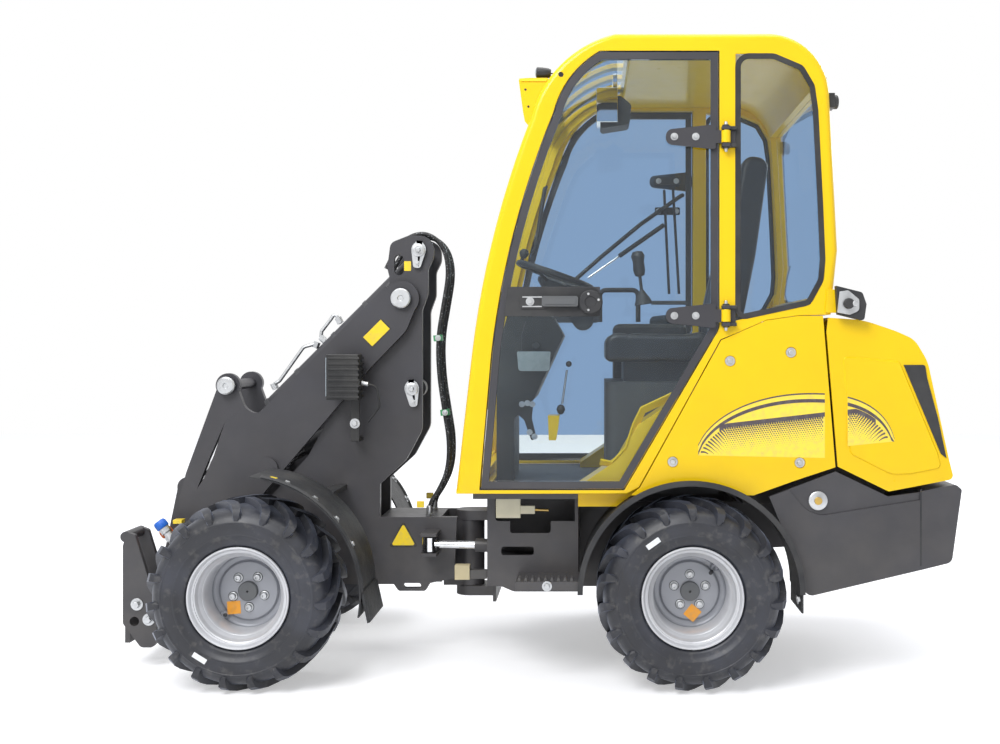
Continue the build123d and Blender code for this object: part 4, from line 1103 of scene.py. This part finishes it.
def lock_plate(piece, place, side, turn):
    """Drop-shaped lock plate with the pin's end and its bolt."""
    frame = frame_at(place, (0, side, 0)) @ rolled(turn)
    piece.slab([(-35, 35, 33), (35, 35, 33), (13, -66, 11), (-13, -66, 11)], frame, 6)
    piece.turned([(24, 6), (24, 10), (20, 12), (0, 12)], frame, 32)
    piece.bolt(frame @ Vector((0, 0, 12)), (0, side, 0), 20)
    piece.bolt(frame @ Vector((0, -48, 6)), (0, side, 0), 11)


fittings = Piece("front_fittings", "front_body", "zinc", "label_yellow", "ink", "clamp_green")
for side in (-1, 1):
    out = (0, side, 0)
    fittings.use("zinc")
    for x, z, turn in ((-431, 1506, 6), (-456, 990, -6)):
        lock_plate(fittings, (x, side * lock_y, z), side, turn * side)
    pin = frame_at((-492, side * 173, 1326), out)
    fittings.turned([(0, 0), (37, 0), (37, 4), (33, 7), (12, 7), (9, 4), (0, 4)], pin, 40)
    tag = frame_at((-474, side * tower_face, 1448), out)
    fittings.use("label_yellow").slab(plate(13, 18, 3), tag, 0.8)
    tag = frame_at((-426, side * tower_face, 560), out)
    fittings.slab(plate(14, 12, 3), tag, 0.8)
    base = frame_at((-490, side * tower_face, 448), out)
    fittings.use("ink").slab([(-56, -48, 8), (56, -48, 8), (0, 52, 8)], base, 0.8)
    fittings.use("label_yellow").slab([(-45, -41, 6), (45, -41, 6), (0, 40, 6)], base, 1.4)
for x, z in ((-366, 1180), (-340, 900)):
    clip = frame_at((x, clip_y, z), (0.1, 0, -1), ACROSS)
    fittings.use("clamp_green").slab(plate(16, clip_half, 6), clip, 22, -11)
    fittings.use("zinc").bolt((x + 2, clip_y - clip_half, z), NEAR, 13)
for y in hose_rows:
    foot = frame_at((-398, y, 506), UP, AFT)
    fittings.use("zinc").disc(15, 16, foot, 6)
    fittings.turned([(10.5, 16), (11.5, 19), (11.5, 42), (10, 44), (0, 44)], foot, 24)
fittings.done(0.0008)

boom_kit = Piece("boom_fittings", "boom_body", "zinc", "label_yellow", "ink")
for side in (-1, 1):
    boom_kit.use("zinc")
    out = (0, side, 0)
    pin = frame_at((-1134, side * 180, 1004), out)
    boom_kit.turned([(0, 0), (33, 0), (33, 5), (28, 9), (10, 9), (8, 5), (0, 5)], pin, 40)
    tilt = frame_at((-584, side * boom_face, 1198), out) @ rolled(-45 * side)
    boom_kit.use("ink").slab(plate(50, 28, 3), tilt, 0.8)
    boom_kit.use("label_yellow").slab(plate(46, 24, 2), tilt, 1.4)
boom_kit.done(0.0008)

# Steel pipes that stand off the tilt cylinder, with their unions
pipes = Piece("tilt_pipes", "tilt_barrel_body", "zinc", "iron")
pipe_routes = (
    [(-1000, 984), (-1008, 1002, 6), (-985, 1016, 16), (-893, 1146, 24), (-850, 1158, 6), (-838, 1148)],
    [(-812, 1172), (-826, 1184, 6), (-824, 1206, 16), (-787, 1254, 20), (-772, 1278, 10), (-750, 1236)],
)
for route in pipe_routes:
    pipes.tube([(x, 0, *rest) for x, *rest in route], 7, 12)
pipe_unions = ((-1004, 996, -0.5, 1), (-844, 1154, 0.4, 1), (-818, 1176, -0.7, 0.7), (-756, 1248, -0.5, 1))
for x, z, lean_x, lean_z in pipe_unions:
    union = frame_at((x, 0, z), (lean_x, 0, lean_z), ACROSS)
    pipes.turned([(0, -12), (13, -12), (13, 12), (0, 12)], union, 6)
for x in (-1015, -900, -760, -640):
    band_frame = frame_at((x, 0, x + 1937), (1, 0, 1.002), ACROSS)
    pipes.use("iron").turned([(30.2, -9), (32, -8), (32, 8), (30.2, 9)], band_frame, 32)
pipes.done(0.0006)

lamp_kit = Piece("work_lamp_details", "front_body", "lamp", "clear_plastic", "zinc", "seal")
for side in (-1, 1):
    low, high = span(side, 190, 270)
    lamp_kit.use("lamp")
    for step in range(8):
        z = 962 + step * 20
        lamp_kit.block((-738, low - 5, z), (-625, high + 5, z + 8))
    lamp_kit.use("clear_plastic").block((-749, low + 8, 968), (-744, high - 8, 1108))
    lamp_kit.use("zinc").bolt((-655, side * 200, 866), (0, side, 0), 22)
    lamp_kit.use("seal")
    cable_y = side * 222
    cable = [(-628, cable_y, 1015), (-572, cable_y, 1005, 26), (-560, cable_y, 930, 26)]
    lamp_kit.tube(cable + [(-606, side * 208, 872)], 4, 10)
    lamp_kit.use("zinc").disc(9, 26, frame_at(cable[0], (1, 0, -0.2), ACROSS), 20)
lamp_kit.done(0.001)

# Front fender trim: bolts over the edge, the rolled lip, and the flap at its rear end
fender_kit = Piece("front_fender_trim", "front_body", "black_plastic", "zinc", "label_yellow", "seal")
fender_radius = 401


def fender_spot(y, degrees, radius=fender_radius):
    """Place on the front fender's arc, with its direction from the wheel's middle."""
    angle = math.radians(degrees)
    lean = Vector((math.cos(angle), 0, math.sin(angle)))
    return Vector((front_wheel_x, y, axle_z)) + lean * radius, lean


for side in (-1, 1):
    lip = [fender_spot(side * 597, 2 + 4.6 * step, fender_radius + 1)[0] for step in range(18)]
    fender_kit.use("black_plastic").bar(lip, plate(5, 6))
    for degrees in (68, 53, 39, 25):
        spot, lean = fender_spot(side * 578, degrees)
        fender_kit.use("zinc").bolt(spot, lean, 18)
    spot, lean = fender_spot(side * 560, 76)
    tag = frame_at(spot, lean, ACROSS)
    fender_kit.use("label_yellow").slab(plate(12, 26, 2), tag, 1)
    low, high = span(side, 350, 594)
    fender_kit.use("seal").side([(-556, 330), (-546, 330), (-524, 232), (-534, 228)], high, high - low)
fender_kit.done(0.0015)

# Rear: body bolts, step teeth, a black strip as painted shade on each tail seam, fuel cap, and the parts
# behind the step
finishes = ("zinc", "brass", "ivory", "cream", "label_yellow", "iron", "black_plastic")
rear_kit = Piece("rear_fittings", "rear_body", *finishes)
for side in (-1, 1):
    out = (0, side, 0)
    for x, z in ((680, 1099), (886, 1128), (486, 758), (916, 755)):
        rear_kit.use("zinc").bolt((x, side * 520, z), out, 20)
    rear_kit.use("iron")
    for row_y in (546, 508):
        low, high = span(side, row_y, row_y + 8)
        for k in range(9):
            x = -38 + k * 22
            rear_kit.side([(x, 360), (x + 12, 360), (x + 9, 371), (x + 3, 371)], high, high - low)
    rear_kit.use("zinc").bolt((62, side * 560, 345), out, 20)
    # The thin black strip over the tail seam is painted shade of the seam's gap.
    seam_shade_y = span(side, cab_y - 1, cab_y + 0.6)[1]
    rear_kit.use("black_plastic").side([(1322, 664), (1328, 666), (1328, 408), (1322, 406)], seam_shade_y, 1.6)
    tag = frame_at((552, side * 556, 693), UP, ACROSS)
    rear_kit.use("label_yellow").slab(plate(8, 12, 2), tag, 1)
    rear_kit.use("zinc").bolt((899, side * 560, 300), (1, 0, 0.15), 18)
cap = frame_at((977, -519, 627), NEAR)
rear_kit.use("zinc").turned([(0, 0), (32, 0), (32, 9), (27, 12), (0, 12)], cap, 40)
rear_kit.use("brass").turned([(0, 12), (14, 12), (13, 17), (0, 17)], cap, 24)
rear_kit.use("ivory").block((-121, -416, 552), (-36, -402, 618))
rear_kit.block((-46, -414, 566), (14, -402, 594))
rear_kit.use("cream").block((-286, -232, 300), (-232, -196, 352))
rear_kit.use("iron").block((-232, -226, 302), (-170, -202, 334))
rear_kit.use("brass").tube([(14, -408, 580), (62, -408, 578)], 5, 12)
rear_kit.done(0.001)

# Decal: a pale film under two dark arcs, a lens shape, and dots that fade downwards
arch_centre = (950, 760)
arch_height, arch_left, arch_right = 231, 390, 292
lens_left, lens_right = (710, 893), (1112, 939)
lens_drop = 34
dot_rows, dot_pitch = 12, 8
panel_face, hood_face = 525, 530


def arch(x, drop=0.0):
    """Height of the decal's outer arc, or of one drawn inside it."""
    reach = (arch_left if x < arch_centre[0] else arch_right) - drop * 0.35
    power = 2.0 if x < arch_centre[0] else 2.5
    share = min(1.0, abs(x - arch_centre[0]) / reach)
    return arch_centre[1] + (arch_height - drop) * (1 - share**power) ** (1 / power)


def lens_line(x):
    """Top of the lens shape: a straight line, under the inner arc."""
    share = (x - lens_left[0]) / (lens_right[0] - lens_left[0])
    return min(lens_left[1] + share * (lens_right[1] - lens_left[1]), arch(x, lens_drop))


def band(piece, face, xs, top, low, lift):
    """Printed strip between two heights, on both sides of the machine."""
    ring = [(x, low(x)) for x in xs] + [(x, top(x)) for x in reversed(xs) if top(x) - low(x) > 0.4]
    for side in (-1, 1):
        piece.side(ring, span(side, face, face + lift)[1], lift)


def decal(name, body, face, start, end, floor):
    """The part of the decal between two x values, above a floor line."""
    made = Piece(name, body, "decal_ink", "decal_film")
    xs = [start + (end - start) * k / 30 for k in range(31)]
    made.use("decal_film")
    band(made, face, xs, arch, floor, 0.3)
    made.use("decal_ink")
    band(made, face, xs, arch, lambda x: arch(x) - 5, 0.6)
    band(made, face, xs, lambda x: arch(x, 20), lambda x: max(floor(x), arch(x, 20) - 12), 0.6)
    inner = [x for x in xs if lens_left[0] - 70 < x < lens_right[0] + 60]
    band(made, face, inner, lens_line, lambda x: lens_line(x) - 15, 0.6)
    for row in range(dot_rows):
        for column in range(int((end - start) / dot_pitch)):
            x = start + 4 + dot_pitch * column + (4 if row % 2 else 0)
            z = lens_line(x) - 18 - row * 7
            radius = 3.9 * (1 - row / (dot_rows + 1))
            if x < end - 4 and z > floor(x) + 6:
                for side in (-1, 1):
                    made.turned([(radius, 0.3), (0, 0.7)], frame_at((x, side * face, z), (0, side, 0)), 6)
    made.done(0.0, 30)


decal("decal_panel", "rear_body", panel_face, 572, 1000, lambda x: 780 - 0.02 * (x - 572))
decal("decal_hood", "hood_body", hood_face, 1076, 1234, lambda x: 812 + 0.1 * (x - 1076))

# Hydraulic hoses: from the boom up past its pivot and down the tower, x and z in metres
hose_route = [
    (-0.560, 1.440), (-0.520, 1.530), (-0.430, 1.583), (-0.350, 1.540), (-0.322, 1.440),
    (-0.345, 1.300), (-0.366, 1.180), (-0.362, 1.040), (-0.340, 0.900), (-0.322, 0.790),
    (-0.328, 0.680), (-0.366, 0.600), (-0.398, 0.556), (-0.398, 0.5123),
]
hose_radius = 0.009


def hose_curve(name, y):
    """Smooth round curve through the route, at one distance across."""
    data = bpy.data.curves.new(name, "CURVE")
    data.dimensions = "3D"
    data.bevel_depth = hose_radius
    data.bevel_resolution = 5
    data.resolution_u = 10
    data.use_fill_caps = True
    line = data.splines.new("NURBS")
    line.points.add(len(hose_route) - 1)
    for point, (x, z) in zip(line.points, hose_route):
        point.co = (x, y, z, 1)
    line.order_u = 3
    line.use_endpoint_u = True
    line.use_smooth = True
    data.materials.append(looks["hose"].material)
    obj = placed(name, data)
    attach(obj, "front_body")
    return obj


for number, row_y in enumerate(hose_rows, 1):
    y = row_y / 1000
    hose = hose_curve(f"hose_{number}", y)
    if number == 1:
        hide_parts("hoses")

# Quick hitch: couplers with coloured caps, and the lock bolts
hitch_face = 325
hitch_kit = Piece("hitch_fittings", "hitch_body", "zinc", "blue", "orange", "label_yellow")
for finish, y, z in (("blue", -258, 452), ("orange", -208, 418)):
    spot = frame_at((-1302, y, z), (-0.62, 0, 0.78), ACROSS)
    hitch_kit.use("zinc").turned([(0, 0), (15, 0), (15, 30), (19, 32), (19, 52), (0, 52)], spot, 28)
    hitch_kit.use(finish).turned([(0, 52), (21, 52), (23, 57), (23, 74), (19, 82), (0, 82)], spot, 28)
hitch_kit.use("label_yellow").block((-1300, -262, 508), (-1268, -226, 522))
for side in (-1, 1):
    for x, z in ((-1362, 178), (-1404, 232)):
        hitch_kit.use("zinc").bolt((x, side * hitch_face, z), (0, side, 0), 26, turn=0.3)
hitch_kit.done(0.001)

# CAD nodes: their slot's finish, edges softened by a width in metres, and even shading
edge_width = {
    "hood": 0.008,
    "side_panels": 0.004,
    "rear_bumper": 0.012,
    "skirts": 0.005,
    "boom": 0.003,
    "front_frame": 0.003,
    "quick_hitch": 0.003,
    "seat_base": 0.02,
    "dashboard": 0.02,
    "side_console": 0.02,
    "tail_inserts": 0.001,
}
plain_edges = ("cab_glass", "door_pane_left", "door_pane_right", "hoses")
plain_edges += ("tilt_rod", "lift_rod", "steering_rod")


def soften(obj, width):
    """Welds a piece's facets, rounds its sharp edges and shades it evenly."""
    drop_normals(obj.data)
    obj.data.shade_smooth()
    weld = obj.modifiers.new("weld", "WELD")
    weld.merge_threshold = 0.00001
    add_bevel(obj, width, 2, "ANGLE").miter_outer = "MITER_ARC"


for name, node in nodes.items():
    look = looks[slot_of[name]]
    for index in range(len(node.material_slots)):
        node.material_slots[index].material = look.material
    if name not in plain_edges:
        soften(node, edge_width.get(name, 0.002))

low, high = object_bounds()
